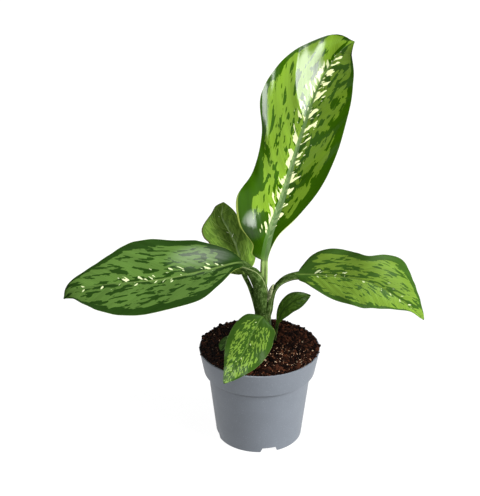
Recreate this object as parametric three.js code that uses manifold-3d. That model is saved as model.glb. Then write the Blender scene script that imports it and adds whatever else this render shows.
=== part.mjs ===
// Potted dieffenbachia: a filled nursery pot, a sheathed stem and seven leaves.
// Millimetres, +Z up. The origin is the middle of the pot's underside. The side that faces -Y is
// the front, so +X is to the right.
import * as THREE from 'three';
import Module from 'manifold-3d';
import { mergeVertices } from 'three/addons/utils/BufferGeometryUtils.js';

const wasm = await Module();
wasm.setup();

// ---- Driving dimensions ------------------------------------------------------------------

const GAP = 0.3; // clear space between pieces that touch
const PAST = 1; // how far a cutter reaches past what it cuts
const ROUND = 48; // sides of the pot and of the soil in it

const POT = {
  height: 97,
  rimRadius: 60,
  collarRadius: 55.4, // at the foot of the flared collar
  collarFoot: 72,
  bodyRadius: 51.4, // where the body meets the collar's foot
  baseRadius: 43,
  wall: 1.2,
  floor: 1.5,
  edge: 0.5, // chamfer of the rim, the collar's foot and the base
};

const DRAIN = {
  count: 4,
  firstAngle: -77.3, // degrees from +X, just right of the front
  innerRadius: 16, // the channels run from here out through the wall
  outerRadius: 50,
  mouthWidth: 18,
  topWidth: 13.4,
  height: 5,
  holeRadius: 3.5,
  holeSides: 12,
  holeAt: 33, // distance of each drain hole from the middle
  wall: 1.5,
};

const SOIL = {
  edgeHeight: 96.3, // the surface where it meets the wall
  crown: 2.4, // how far the middle stands above the edge
  crumb: 0.9, // height of the crumbly relief
  wave: 0.87, // the relief's waves, in radians a millimetre, and how far slow waves bend them
  bend: 1.5,
  bendWave: 0.29,
  fineWave: 1.9, // a finer slanting wave, and its share of the height
  fineShare: 0.5,
  rings: 11,
};

// The stem and each petiole or midrib is swept along a line of rows:
// x, y, z, then the direction its upper side faces, then its radius.
const STEM = {
  rows: [
    [3.5, 0.5, 62, 0, -1, 0, 6.6],
    [3.8, 0.3, 92, 0, -1, 0, 8.2],
    [4, 0, 112, 0, -1, 0, 8.7],
    [4, 0, 134, 0, -1, 0, 8.6],
    [2.6, 0, 149, 0, -1, 0, 7.6],
  ],
  steps: 12,
  sides: 16,
};

// A leaf is its petiole and its blade, grown as one. petiole and midrib are rows as above.
// Each station of the blade is: place along the midrib from 0 to 1, half widths of the left
// and right side, and the tilt of the left and right margin in degrees. fold is the angle at
// which both sides leave the midrib.
const LEAVES = {
  leaf_upright: {
    petiole: [
      [2.5, 2.5, 150.2, 0, -1, 0, 3.4],
      [3.8, 3.6, 167, 0, -1, 0, 3.7],
      [4, 4, 180, 0, -1, 0, 3.7],
    ],
    midrib: [
      [4.3, 4, 190.5, 0.1, -1, 0.2, 3.5],
      [9, 9, 216, 0.1, -1, 0.3, 3.1],
      [20, 19, 245, 0.1, -1, 0.3, 2.6],
      [38.5, 42, 302, 0, -1, 0.4, 1.9],
      [56, 60, 348.5, -0.1, -1, 0.4, 1.3],
      [68, 66, 369, -0.1, -1, 0.5, 0.9],
      [79.5, 70, 383, -0.1, -1, 0.6, 0.7],
      [90, 72, 389, -0.1, -1, 0.7, 0.5],
    ],
    fold: 12,
    stations: [
      [0, 7, 3.4, -20, -20],
      [0.02, 10.5, 3.8, -20, -20],
      [0.06, 14.5, 5.5, -20, -25],
      [0.12, 28, 10, -20, -35],
      [0.2, 41.5, 19.5, -20, -40],
      [0.35, 34.5, 33, -30, -25],
      [0.5, 37, 36.5, -35, -10],
      [0.65, 49, 35, -15, -20],
      [0.78, 43, 30, -10, -25],
      [0.88, 30, 20, -10, -20],
      [0.95, 17, 8.5, -10, -10],
      [1, 1, 1, 0, 0],
    ],
    rows: 22,
    columns: 10,
  },
  leaf_left: {
    petiole: [
      [1.2, 0, 150.2, 0.3, 0.7, 0.2, 7],
      [0.6, -1, 162, 0.4, 0.7, 0.3, 7],
      [-3, -2, 173, 0.5, 0.4, 0.6, 6.6],
      [-8, -3, 182, 0.4, 0.1, 0.8, 6],
    ],
    midrib: [
      [-18, -5, 191.5, 0.1, -0.4, 0.9, 4.6],
      [-49, -17, 190, 0, -0.6, 0.8, 2.8],
      [-94, -36, 189, 0, -0.65, 0.75, 2],
      [-145, -53, 192, 0, -0.65, 0.75, 1.2],
      [-175, -62, 190, -0.2, -0.6, 0.7, 0.7],
      [-183, -64, 183, -0.6, -0.5, 0.5, 0.5],
    ],
    fold: 12,
    stations: [
      [0, 6, 8.5, -20, -20],
      [0.06, 8, 22, -20, -20],
      [0.15, 17, 34, -10, -25],
      [0.3, 30.5, 39.5, 0, -25],
      [0.45, 32.5, 43, 0, -20],
      [0.6, 34, 40.5, -10, -15],
      [0.75, 30.5, 26.5, -15, -15],
      [0.9, 16, 13, -20, -20],
      [0.96, 7, 7, -20, -20],
      [1, 0.8, 0.8, 0, 0],
    ],
    rows: 22,
    columns: 10,
  },
  leaf_right: {
    petiole: [
      [5, 0, 118, -0.6, -0.3, 0.4, 3],
      [9.2, -0.6, 140, -0.6, -0.3, 0.4, 4.6],
      [12, -1, 151, -0.7, -0.3, 0.5, 4.6],
      [15, -1, 160, -0.6, -0.3, 0.6, 4.3],
      [20.2, -1, 168.5, -0.5, -0.3, 0.7, 4],
      [27.2, -1, 175, -0.4, -0.3, 0.8, 3.8],
    ],
    midrib: [
      [37, -2, 178, 0, -0.5, 0.9, 3.5],
      [77, -19, 183, 0, -0.55, 0.85, 1.9],
      [104, -33, 184, 0, -0.55, 0.85, 1.4],
      [134, -51, 173, 0.2, -0.55, 0.75, 0.9],
      [153, -61, 159.5, 0.3, -0.5, 0.75, 0.5],
    ],
    fold: 12,
    stations: [
      [0, 6, 7, -20, -20],
      [0.06, 24, 10, -20, -10],
      [0.15, 34, 16.5, -20, -10],
      [0.3, 34.5, 25, -25, -10],
      [0.46, 28, 28.5, -5, -15],
      [0.54, 36, 28.5, -15, -20],
      [0.62, 43, 26.5, -30, -20],
      [0.75, 32, 16.5, -35, -20],
      [0.9, 13.5, 3.5, -20, -20],
      [1, 1, 1, 0, 0],
    ],
    rows: 20,
    columns: 10,
  },
  leaf_behind: {
    petiole: [
      [1, 2, 118, -0.2, 0.6, 0.3, 2.4],
      [-3, 5.5, 136, 0, -0.2, 0.4, 2.8],
      [-6.9, 8, 149, 0.2, -0.4, 0.4, 2.8],
      [-10.8, 11, 160, 0.3, -0.6, 0.4, 2.7],
    ],
    midrib: [
      [-16, 14.5, 172.5, 0.4, -0.8, 0.2, 2.5],
      [-23.5, 24, 194, 0.4, -0.8, 0.3, 1.6],
      [-30.5, 31, 208, 0.4, -0.8, 0.3, 1.2],
      [-38, 37, 222, 0.4, -0.8, 0.4, 0.8],
      [-35.5, 43, 235, 0.4, -0.8, 0.4, 0.5],
    ],
    fold: 15,
    stations: [
      [0, 9, 5, -10, -10],
      [0.08, 14, 12, -10, -10],
      [0.2, 19, 16, -10, -10],
      [0.35, 26, 18.5, -10, -10],
      [0.5, 27.5, 19.5, -10, -10],
      [0.65, 24, 18, -10, -10],
      [0.8, 17, 16, -10, -10],
      [0.93, 8, 9, -10, -10],
      [1, 1, 1, 0, 0],
    ],
    rows: 15,
    columns: 8,
  },
  leaf_front: {
    petiole: [
      [4, -9.5, 84, 0, -1, 0, 3.2],
      [4, -9.7, 112, 0, -1, 0, 3.2],
      [4, -10.5, 128, 0, -1, 0.2, 2.9],
    ],
    midrib: [
      [2.5, -15, 134.8, 0, -0.6, 0.8, 2.5],
      [-7, -28, 127, -0.1, -0.7, 0.7, 1.8],
      [-13.5, -41, 117.5, -0.1, -0.8, 0.6, 1.4],
      [-25, -54.5, 104.5, -0.1, -0.85, 0.5, 0.9],
      [-35, -64, 92, -0.1, -0.9, 0.4, 0.5],
    ],
    fold: 8,
    stations: [
      [0, 13, 9, -15, -15],
      [0.08, 18.5, 15, -15, -15],
      [0.2, 21, 19.5, -15, -15],
      [0.35, 22.5, 21.5, -15, -15],
      [0.5, 20.5, 20.5, -15, -15],
      [0.65, 17, 16.5, -15, -15],
      [0.8, 11.5, 9.5, -15, -15],
      [0.93, 5, 4, -10, -10],
      [1, 1, 1, 0, 0],
    ],
    rows: 15,
    columns: 8,
  },
  leaf_low_right: {
    petiole: [
      [14, 7, 86, -0.3, -0.9, 0.2, 2],
      [15, 7.5, 102, -0.3, -0.9, 0.2, 1.9],
      [16.5, 8, 111, -0.3, -0.9, 0.2, 1.8],
    ],
    midrib: [
      [18, 8, 119, -0.3, -0.9, 0.3, 1.6],
      [23, 9, 132, -0.3, -0.9, 0.3, 1.2],
      [31, 8, 141.5, -0.2, -0.9, 0.4, 0.9],
      [40, 6, 148, -0.1, -0.9, 0.4, 0.7],
      [50, 4, 152, 0, -0.9, 0.4, 0.5],
    ],
    fold: 10,
    stations: [
      [0, 1.5, 1.5, -10, -10],
      [0.1, 3, 3.5, -10, -10],
      [0.25, 5.5, 7, -10, -10],
      [0.45, 8.2, 8.5, -10, -10],
      [0.65, 8.7, 9.3, -10, -10],
      [0.85, 5, 6.5, -10, -10],
      [1, 0.8, 0.8, 0, 0],
    ],
    rows: 11,
    columns: 6,
  },
  leaf_low_left: {
    petiole: [
      [-6.5, -3, 86, 0, -0.4, 0.9, 1.8],
      [-8, -4, 98, 0.4, -0.4, 0.7, 1.7],
      [-12, -5, 104.5, 0.3, -0.5, 0.8, 1.6],
    ],
    midrib: [
      [-18, -7, 107.5, 0, -0.6, 0.8, 1.4],
      [-26, -11, 108.5, 0, -0.6, 0.8, 1],
      [-33, -15, 107, -0.1, -0.6, 0.8, 0.7],
      [-38.5, -20, 103.2, -0.2, -0.6, 0.8, 0.5],
    ],
    fold: 10,
    stations: [
      [0, 2, 2, -10, -10],
      [0.15, 5, 5.5, -10, -10],
      [0.35, 7, 7.5, -10, -10],
      [0.55, 7, 8, -10, -10],
      [0.75, 4.5, 7, -10, -10],
      [0.9, 2, 4.3, -10, -10],
      [1, 0.8, 0.8, 0, 0],
    ],
    rows: 10,
    columns: 6,
  },
};

const BLADE_THICKNESS = 0.8;
const ROW_SPREAD = 1.15; // above 1, the rows of a blade stand closer at its base
const RIB_SIDES = 10;
const RIB_END = 0.94; // the rib under the blade stops here, short of the tip
const RIB_DROP = 0.85; // how far the rib hangs below the blade, in radii
const RIB_MORE = 4; // a petiole and its rib have this many more rings than the blade has rows
const CHANNEL = 0.45; // depth of the groove along a petiole's upper side, in radii
const CHANNEL_POWER = 6; // the higher, the narrower the groove
const CHANNEL_ENDS = [0.8, 1.1]; // it fades out here, in lengths of the petiole
const LINE_SAMPLES = 40; // for each row of a swept line

const COLOURS = {
  pot: 0x8b949c,
  soil: 0x2a1c17,
  stem: 0x3f5c2c,
  oldLeaf: 0x4f8a2c,
  darkLeaf: 0x2f5a2c,
};

// ---- Solids and meshes -------------------------------------------------------------------

const vec = (x, y, z) => new THREE.Vector3(x, y, z);

function toSolid(geometry) {
  const bare = geometry.clone();
  bare.deleteAttribute('normal');
  bare.deleteAttribute('uv');
  const merged = mergeVertices(bare, 1e-3);
  return new wasm.Manifold(new wasm.Mesh({
    numProp: 3,
    vertProperties: new Float32Array(merged.attributes.position.array),
    triVerts: new Uint32Array(merged.index.array),
  }));
}

function toGeometry(solid) {
  const mesh = solid.getMesh();
  const geometry = new THREE.BufferGeometry();
  geometry.setAttribute('position', new THREE.BufferAttribute(mesh.vertProperties, 3));
  geometry.setIndex(new THREE.BufferAttribute(mesh.triVerts, 1));
  geometry.computeVertexNormals();
  return geometry;
}

// A closed skin over a row of rings that each have the same number of points. From the ring
// place flipFrom on, the squares are split along the other diagonal.
function skin(rings, flipFrom = Infinity) {
  const count = rings[0].length;
  const points = rings.flat();
  const faces = [];
  for (let i = 0; i + 1 < rings.length; i++) {
    for (let j = 0; j < count; j++) {
      const a = i * count + j;
      const b = i * count + ((j + 1) % count);
      const c = b + count;
      const d = a + count;
      if (j < flipFrom) faces.push(a, b, c, a, c, d);
      else faces.push(a, b, d, b, c, d);
    }
  }
  for (const [first, turned] of [[0, true], [(rings.length - 1) * count, false]]) {
    const middle = vec(0, 0, 0);
    for (let j = 0; j < count; j++) middle.addScaledVector(points[first + j], 1 / count);
    points.push(middle);
    for (let j = 0; j < count; j++) {
      const pair = [first + j, first + ((j + 1) % count)];
      if (turned) pair.reverse();
      faces.push(points.length - 1, ...pair);
    }
  }
  const geometry = new THREE.BufferGeometry().setFromPoints(points);
  geometry.setIndex(faces);
  return geometry;
}

// A profile of [radius, height] pairs, from axis to axis, turned about Z.
function turned(profile) {
  const points = profile.map(([radius, height]) => new THREE.Vector2(radius, height));
  const lathe = new THREE.LatheGeometry(points, ROUND);
  return toSolid(lathe.rotateX(Math.PI / 2));
}

// ---- Pot ---------------------------------------------------------------------------------

function potOutside() {
  const { height, rimRadius, collarRadius, collarFoot, bodyRadius, baseRadius, edge } = POT;
  return turned([
    [0, 0],
    [baseRadius - edge, 0],
    [baseRadius, edge],
    [bodyRadius, collarFoot],
    [collarRadius - edge, collarFoot],
    [collarRadius, collarFoot + edge],
    [rimRadius, height - edge],
    [rimRadius - edge, height],
    [0, height],
  ]);
}

// The pot's hollow, drawn inwards by inset and carried up to top.
function potHollow(inset, top) {
  const { height, rimRadius, collarRadius, collarFoot, bodyRadius, baseRadius, wall, floor } = POT;
  const reach = wall + inset;
  const flare = (rimRadius - collarRadius) / (height - collarFoot);
  return turned([
    [0, floor + inset],
    [baseRadius - reach, floor + inset],
    [bodyRadius - reach, collarFoot + reach],
    [collarRadius - reach, collarFoot + reach],
    [collarRadius - reach + flare * (top - collarFoot - wall), top],
    [0, top],
  ]);
}

// The radial drain channels, each a trapezoid prism, made larger by grow on every side.
function drainChannels(grow) {
  const { count, firstAngle, innerRadius, outerRadius, mouthWidth, topWidth, height } = DRAIN;
  const outline = new THREE.Shape([
    new THREE.Vector2(-mouthWidth / 2 - grow, -PAST),
    new THREE.Vector2(mouthWidth / 2 + grow, -PAST),
    new THREE.Vector2(topWidth / 2 + grow, height + grow),
    new THREE.Vector2(-topWidth / 2 - grow, height + grow),
  ]);
  const depth = outerRadius - innerRadius + grow;
  const prism = new THREE.ExtrudeGeometry(outline, { depth, bevelEnabled: false })
    .rotateX(Math.PI / 2)
    .rotateZ(Math.PI / 2)
    .translate(innerRadius - grow, 0, 0);
  let channels = null;
  for (let k = 0; k < count; k++) {
    const angle = THREE.MathUtils.degToRad(firstAngle) + (k * 2 * Math.PI) / count;
    const channel = toSolid(prism.clone().rotateZ(angle));
    channels = channels ? channels.add(channel) : channel;
  }
  return channels;
}

function drainHoles() {
  const { count, firstAngle, holeRadius, holeSides, holeAt, height, wall } = DRAIN;
  const hole = new THREE.CylinderGeometry(holeRadius, holeRadius, wall + 2 * PAST, holeSides)
    .rotateX(Math.PI / 2)
    .translate(holeAt, 0, height + wall / 2);
  let holes = null;
  for (let k = 0; k < count; k++) {
    const angle = THREE.MathUtils.degToRad(firstAngle) + (k * 2 * Math.PI) / count;
    const drill = toSolid(hole.clone().rotateZ(angle));
    holes = holes ? holes.add(drill) : drill;
  }
  return holes;
}

function makePot() {
  const hollow = potHollow(0, POT.height + PAST).subtract(drainChannels(DRAIN.wall));
  return potOutside().subtract(hollow).subtract(drainChannels(0)).subtract(drainHoles());
}

// ---- Soil --------------------------------------------------------------------------------

// Height of the crumbly surface at a point.
function soilHeight(x, y) {
  const { edgeHeight, crown, crumb, wave, bend, bendWave, fineWave, fineShare } = SOIL;
  const rise = 1 - (x * x + y * y) / (POT.rimRadius * POT.rimRadius);
  const crumbs = Math.sin(wave * x + bend * Math.sin(bendWave * y))
    * Math.sin(wave * y + bend * Math.cos(bendWave * x))
    + fineShare * Math.sin(fineWave * (x - y / 2));
  return edgeHeight + crown * rise + crumb * crumbs;
}

// Everything that lies under the crumbly surface, out past the pot's wall.
function underSurface() {
  const rings = [];
  const ring = (radius, height) => Array.from({ length: ROUND }, (_, j) => {
    const angle = (j * 2 * Math.PI) / ROUND;
    const x = radius * Math.cos(angle);
    const y = radius * Math.sin(angle);
    return vec(x, y, height ?? soilHeight(x, y));
  });
  const outermost = POT.rimRadius + PAST;
  rings.push(ring(outermost, 0));
  for (let k = 0; k < SOIL.rings; k++) {
    rings.push(ring(outermost * (1 - k / SOIL.rings)));
  }
  return toSolid(skin(rings));
}

function makeSoil(planted) {
  let soil = potHollow(GAP, POT.height + SOIL.crown + 2 * SOIL.crumb)
    .intersect(underSurface())
    .subtract(drainChannels(DRAIN.wall + GAP));
  for (const solid of planted) soil = soil.subtract(solid);
  return soil;
}

// ---- Stem and leaves ---------------------------------------------------------------------

// A smooth line through rows, which also carries the facing direction and the radius.
class Spine {
  constructor(rows, bladeRow = 0) {
    this.rows = rows;
    this.curve = new THREE.CatmullRomCurve3(
      rows.map((row) => vec(row[0], row[1], row[2])), false, 'centripetal');
    this.curve.arcLengthDivisions = LINE_SAMPLES * (rows.length - 1);
    const lengths = this.curve.getLengths();
    this.length = lengths.at(-1);
    this.bladeStart = lengths[LINE_SAMPLES * bladeRow];
  }

  // The frame at a distance from the first row.
  at(distance) {
    const t = this.curve.getUtoTmapping(Math.min(distance / this.length, 1));
    const place = t * (this.rows.length - 1);
    const k = Math.min(Math.floor(place), this.rows.length - 2);
    const mix = (column) => THREE.MathUtils.lerp(
      this.rows[k][column], this.rows[k + 1][column], place - k);
    const point = this.curve.getPoint(t);
    const tangent = this.curve.getTangent(t);
    const side = vec(mix(3), mix(4), mix(5)).cross(tangent).normalize().negate();
    const normal = vec(0, 0, 0).crossVectors(side, tangent);
    return { point, tangent, side, normal, radius: mix(6) };
  }

  // The frame at a place on the blade, from 0 at its base to 1 at its tip.
  onBlade(place) {
    return this.at(this.bladeStart + place * (this.length - this.bladeStart));
  }
}

// A ring round the line: round, with a groove of the given depth on the upper side.
function ringAt(frame, sides, { groove = 0, drop = 0, grow = 0 }) {
  return Array.from({ length: sides }, (_, j) => {
    const angle = (j * 2 * Math.PI) / sides + Math.PI / 2;
    const up = Math.max(0, Math.sin(angle));
    const radius = frame.radius * (1 - groove * up ** CHANNEL_POWER) + grow;
    return frame.point.clone()
      .addScaledVector(frame.normal, radius * Math.sin(angle) - drop * frame.radius)
      .addScaledVector(frame.side, -radius * Math.cos(angle));
  });
}

// A tube from the line's start to a distance along it, made larger by grow on every side and
// at its ends. shape gives the groove and the drop of the ring at a distance.
function sweep(spine, end, steps, sides, grow, shape) {
  const rings = [];
  for (let k = 0; k <= steps; k++) {
    const distance = (k / steps) * end;
    const frame = spine.at(distance);
    if (k === 0) frame.point.addScaledVector(frame.tangent, -grow);
    if (k === steps) frame.point.addScaledVector(frame.tangent, grow);
    rings.push(ringAt(frame, sides, { ...shape(distance), grow }));
  }
  return toSolid(skin(rings));
}

function makeStem(grow) {
  const spine = new Spine(STEM.rows);
  return sweep(spine, spine.length, STEM.steps, STEM.sides, grow, () => ({}));
}

// The petiole, which runs on as a rib under the blade.
function makeRib(leaf, spine, grow) {
  const { bladeStart, length } = spine;
  const end = bladeStart + RIB_END * (length - bladeStart);
  return sweep(spine, end, leaf.rows + RIB_MORE, RIB_SIDES, grow, (distance) => {
    const onBlade = THREE.MathUtils.smoothstep(distance / bladeStart, ...CHANNEL_ENDS);
    return { groove: CHANNEL * (1 - onBlade), drop: RIB_DROP * onBlade };
  });
}

// A point of the blade's middle surface. across runs from -1, the left margin, to 1.
function bladePoint(leaf, spine, stations, place, across) {
  const frame = spine.onBlade(place);
  const [leftWidth, rightWidth, leftTilt, rightTilt] = stations.evaluate(place);
  const width = across < 0 ? leftWidth : rightWidth;
  const tilt = across < 0 ? leftTilt : rightTilt;
  const out = Math.abs(across);
  const angle = THREE.MathUtils.degToRad(leaf.fold + (tilt - leaf.fold) * out / 2);
  return frame.point
    .addScaledVector(frame.side, width * across * Math.cos(angle))
    .addScaledVector(frame.normal, width * out * Math.sin(angle));
}

function makeBlade(leaf, spine) {
  const stations = new THREE.CubicInterpolant(
    leaf.stations.map((row) => row[0]), leaf.stations.flatMap((row) => row.slice(1)), 4);
  const columns = Array.from({ length: leaf.columns + 1 }, (_, j) => (2 * j) / leaf.columns - 1);
  const surface = [];
  for (let i = 0; i <= leaf.rows; i++) {
    const place = (i / leaf.rows) ** ROW_SPREAD;
    surface.push(columns.map((across) => bladePoint(leaf, spine, stations, place, across)));
  }
  const normalAt = (i, j) => {
    const along = surface[Math.min(i + 1, leaf.rows)][j].clone()
      .sub(surface[Math.max(i - 1, 0)][j]);
    const sideways = surface[i][Math.min(j + 1, leaf.columns)].clone()
      .sub(surface[i][Math.max(j - 1, 0)]);
    return sideways.cross(along).normalize();
  };
  const face = (i, offset) => surface[i].map(
    (point, j) => point.clone().addScaledVector(normalAt(i, j), offset));
  const rings = surface.map((_, i) => [
    ...face(i, BLADE_THICKNESS / 2),
    ...face(i, -BLADE_THICKNESS / 2).reverse(),
  ]);
  return toSolid(skin(rings, leaf.columns + 1));
}

// ---- The whole plant ---------------------------------------------------------------------

const spines = {};
for (const [name, leaf] of Object.entries(LEAVES)) {
  spines[name] = new Spine([...leaf.petiole, ...leaf.midrib], leaf.petiole.length);
}

const solids = { pot: makePot(), stem: makeStem(0) };

// Sheaths wrap each other, so each leaf is cut back from the stem and from the petioles
// inside it. The leaves stand in the list from the innermost out.
let inside = makeStem(GAP);
const planted = [makeStem(GAP)];
for (const [name, leaf] of Object.entries(LEAVES)) {
  const petiole = makeRib(leaf, spines[name], GAP);
  solids[name] = makeRib(leaf, spines[name], 0).subtract(inside).add(makeBlade(leaf, spines[name]));
  inside = inside.add(petiole);
  planted.push(petiole);
}
solids.soil = makeSoil(planted);

const finishes = {
  pot: { color: COLOURS.pot, roughness: 0.55 },
  soil: { color: COLOURS.soil, roughness: 0.95 },
  stem: { color: COLOURS.stem, roughness: 0.45 },
  leaf_low_right: { color: COLOURS.darkLeaf, roughness: 0.35 },
  leaf_low_left: { color: COLOURS.darkLeaf, roughness: 0.35 },
};

const plant = new THREE.Group();
for (const [name, solid] of Object.entries(solids)) {
  const finish = finishes[name] ?? { color: COLOURS.oldLeaf, roughness: 0.35 };
  const material = new THREE.MeshStandardMaterial({ ...finish, metalness: 0 });
  const mesh = new THREE.Mesh(toGeometry(solid), material);
  mesh.name = name;
  plant.add(mesh);
}

export default plant;
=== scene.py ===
import random
from bisect import bisect_right
from math import copysign, cos, exp, pi, radians, sin, sqrt, tau

import bmesh
import bpy
from bpy.props import FloatProperty, FloatVectorProperty, IntProperty, PointerProperty
from mathutils import Matrix, Vector, geometry, noise


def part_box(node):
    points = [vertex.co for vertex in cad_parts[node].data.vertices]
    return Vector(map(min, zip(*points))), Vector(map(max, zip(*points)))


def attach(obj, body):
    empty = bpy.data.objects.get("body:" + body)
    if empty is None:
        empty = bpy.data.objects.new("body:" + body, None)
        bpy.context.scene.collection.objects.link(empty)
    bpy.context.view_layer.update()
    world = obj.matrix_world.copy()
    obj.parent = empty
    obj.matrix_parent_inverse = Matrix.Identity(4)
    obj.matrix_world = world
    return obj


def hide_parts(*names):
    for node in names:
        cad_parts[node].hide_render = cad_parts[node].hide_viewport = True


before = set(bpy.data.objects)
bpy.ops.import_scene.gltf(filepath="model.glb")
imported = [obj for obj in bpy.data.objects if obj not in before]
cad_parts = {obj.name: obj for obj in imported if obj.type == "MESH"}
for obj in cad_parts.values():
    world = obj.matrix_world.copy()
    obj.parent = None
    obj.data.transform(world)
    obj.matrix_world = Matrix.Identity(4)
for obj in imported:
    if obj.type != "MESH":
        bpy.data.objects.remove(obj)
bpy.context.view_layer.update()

bl_info = {
    "name": "Potted Dieffenbachia",
    "version": (1, 0, 0),
    "blender": (4, 5, 0),
    "location": "3D Viewport > Sidebar > Plant",
    "description": "Builds a variegated dieffenbachia in a filled plastic nursery pot",
    "category": "Add Mesh",
}

# ---- Shape tables, in millimetres --------------------------------------------------------
# A swept line has rows of x, y, z, the direction that its upper side faces, and its radius.

STEM_ROWS = [
    (3.5, 0.5, 62, 0, -1, 0, 6.6), (3.8, 0.3, 92, 0, -1, 0, 8.2), (4, 0, 112, 0, -1, 0, 8.7),
    (4, 0, 130, 0, -1, 0, 7.7), (3.6, 0, 140, 0, -1, 0, 6.4), (2.8, 0.5, 149, 0, -1, 0, 4.6)]
SHEATH_TIP_ROWS = [
    (7.2, -3.8, 149, -0.5, -0.8, 0.2, 2.2), (8.4, -4.8, 155.4, -0.5, -0.8, 0.2, 2.6),
    (10, -5, 161, -0.5, -0.8, 0.2, 2.3), (11.6, -4.6, 165.4, -0.5, -0.8, 0.2, 1.6),
    (13, -4, 168.4, -0.5, -0.8, 0.2, 0.3)]
# Larger clods of soil that show over the rim: x, y, z and size.
CLODS = [
    (-39, 41, 98, 2.4), (-52, 26, 97.6, 1.8), (-44, 36, 97.8, 1.6), (57.6, -13, 97.2, 1.5),
    (41, 40, 98, 1.7), (52, 25, 97.6, 1.6), (-25, 51, 98, 1.6), (27, 50, 98, 1.5)]

# A leaf is the rows of its petiole, then those of its midrib, and the stations of its blade.
# columns are the squares across each half, stalk_rows and blade_rows those along the two parts.
# fold is the angle at which both halves leave the midrib, in degrees, waves the height of the
# waves at the margin, and dish how far the left and the right half swell out, or below 0 sink in,
# towards the tip. ridges run along the side veins of the left half: place along the midrib,
# height, and how far each reaches before and after it. puffs are soft swellings: x, y, size and
# height.
PLAIN_LEAF = dict(
    slot="leaf", columns=20, stalk_rows=26, blade_rows=60, waves=0.5, fold=12, dish=(0, 0),
    ridges=(), puffs=())


def tilted(tilt, *stations):
    """Stations: place along the midrib, left and right half width, and tilts of both margins.

    The tilts are in degrees, and a station that doesn't give them has the first number for both.
    """
    return [row if len(row) == 5 else (*row, tilt, tilt) for row in stations]


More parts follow.
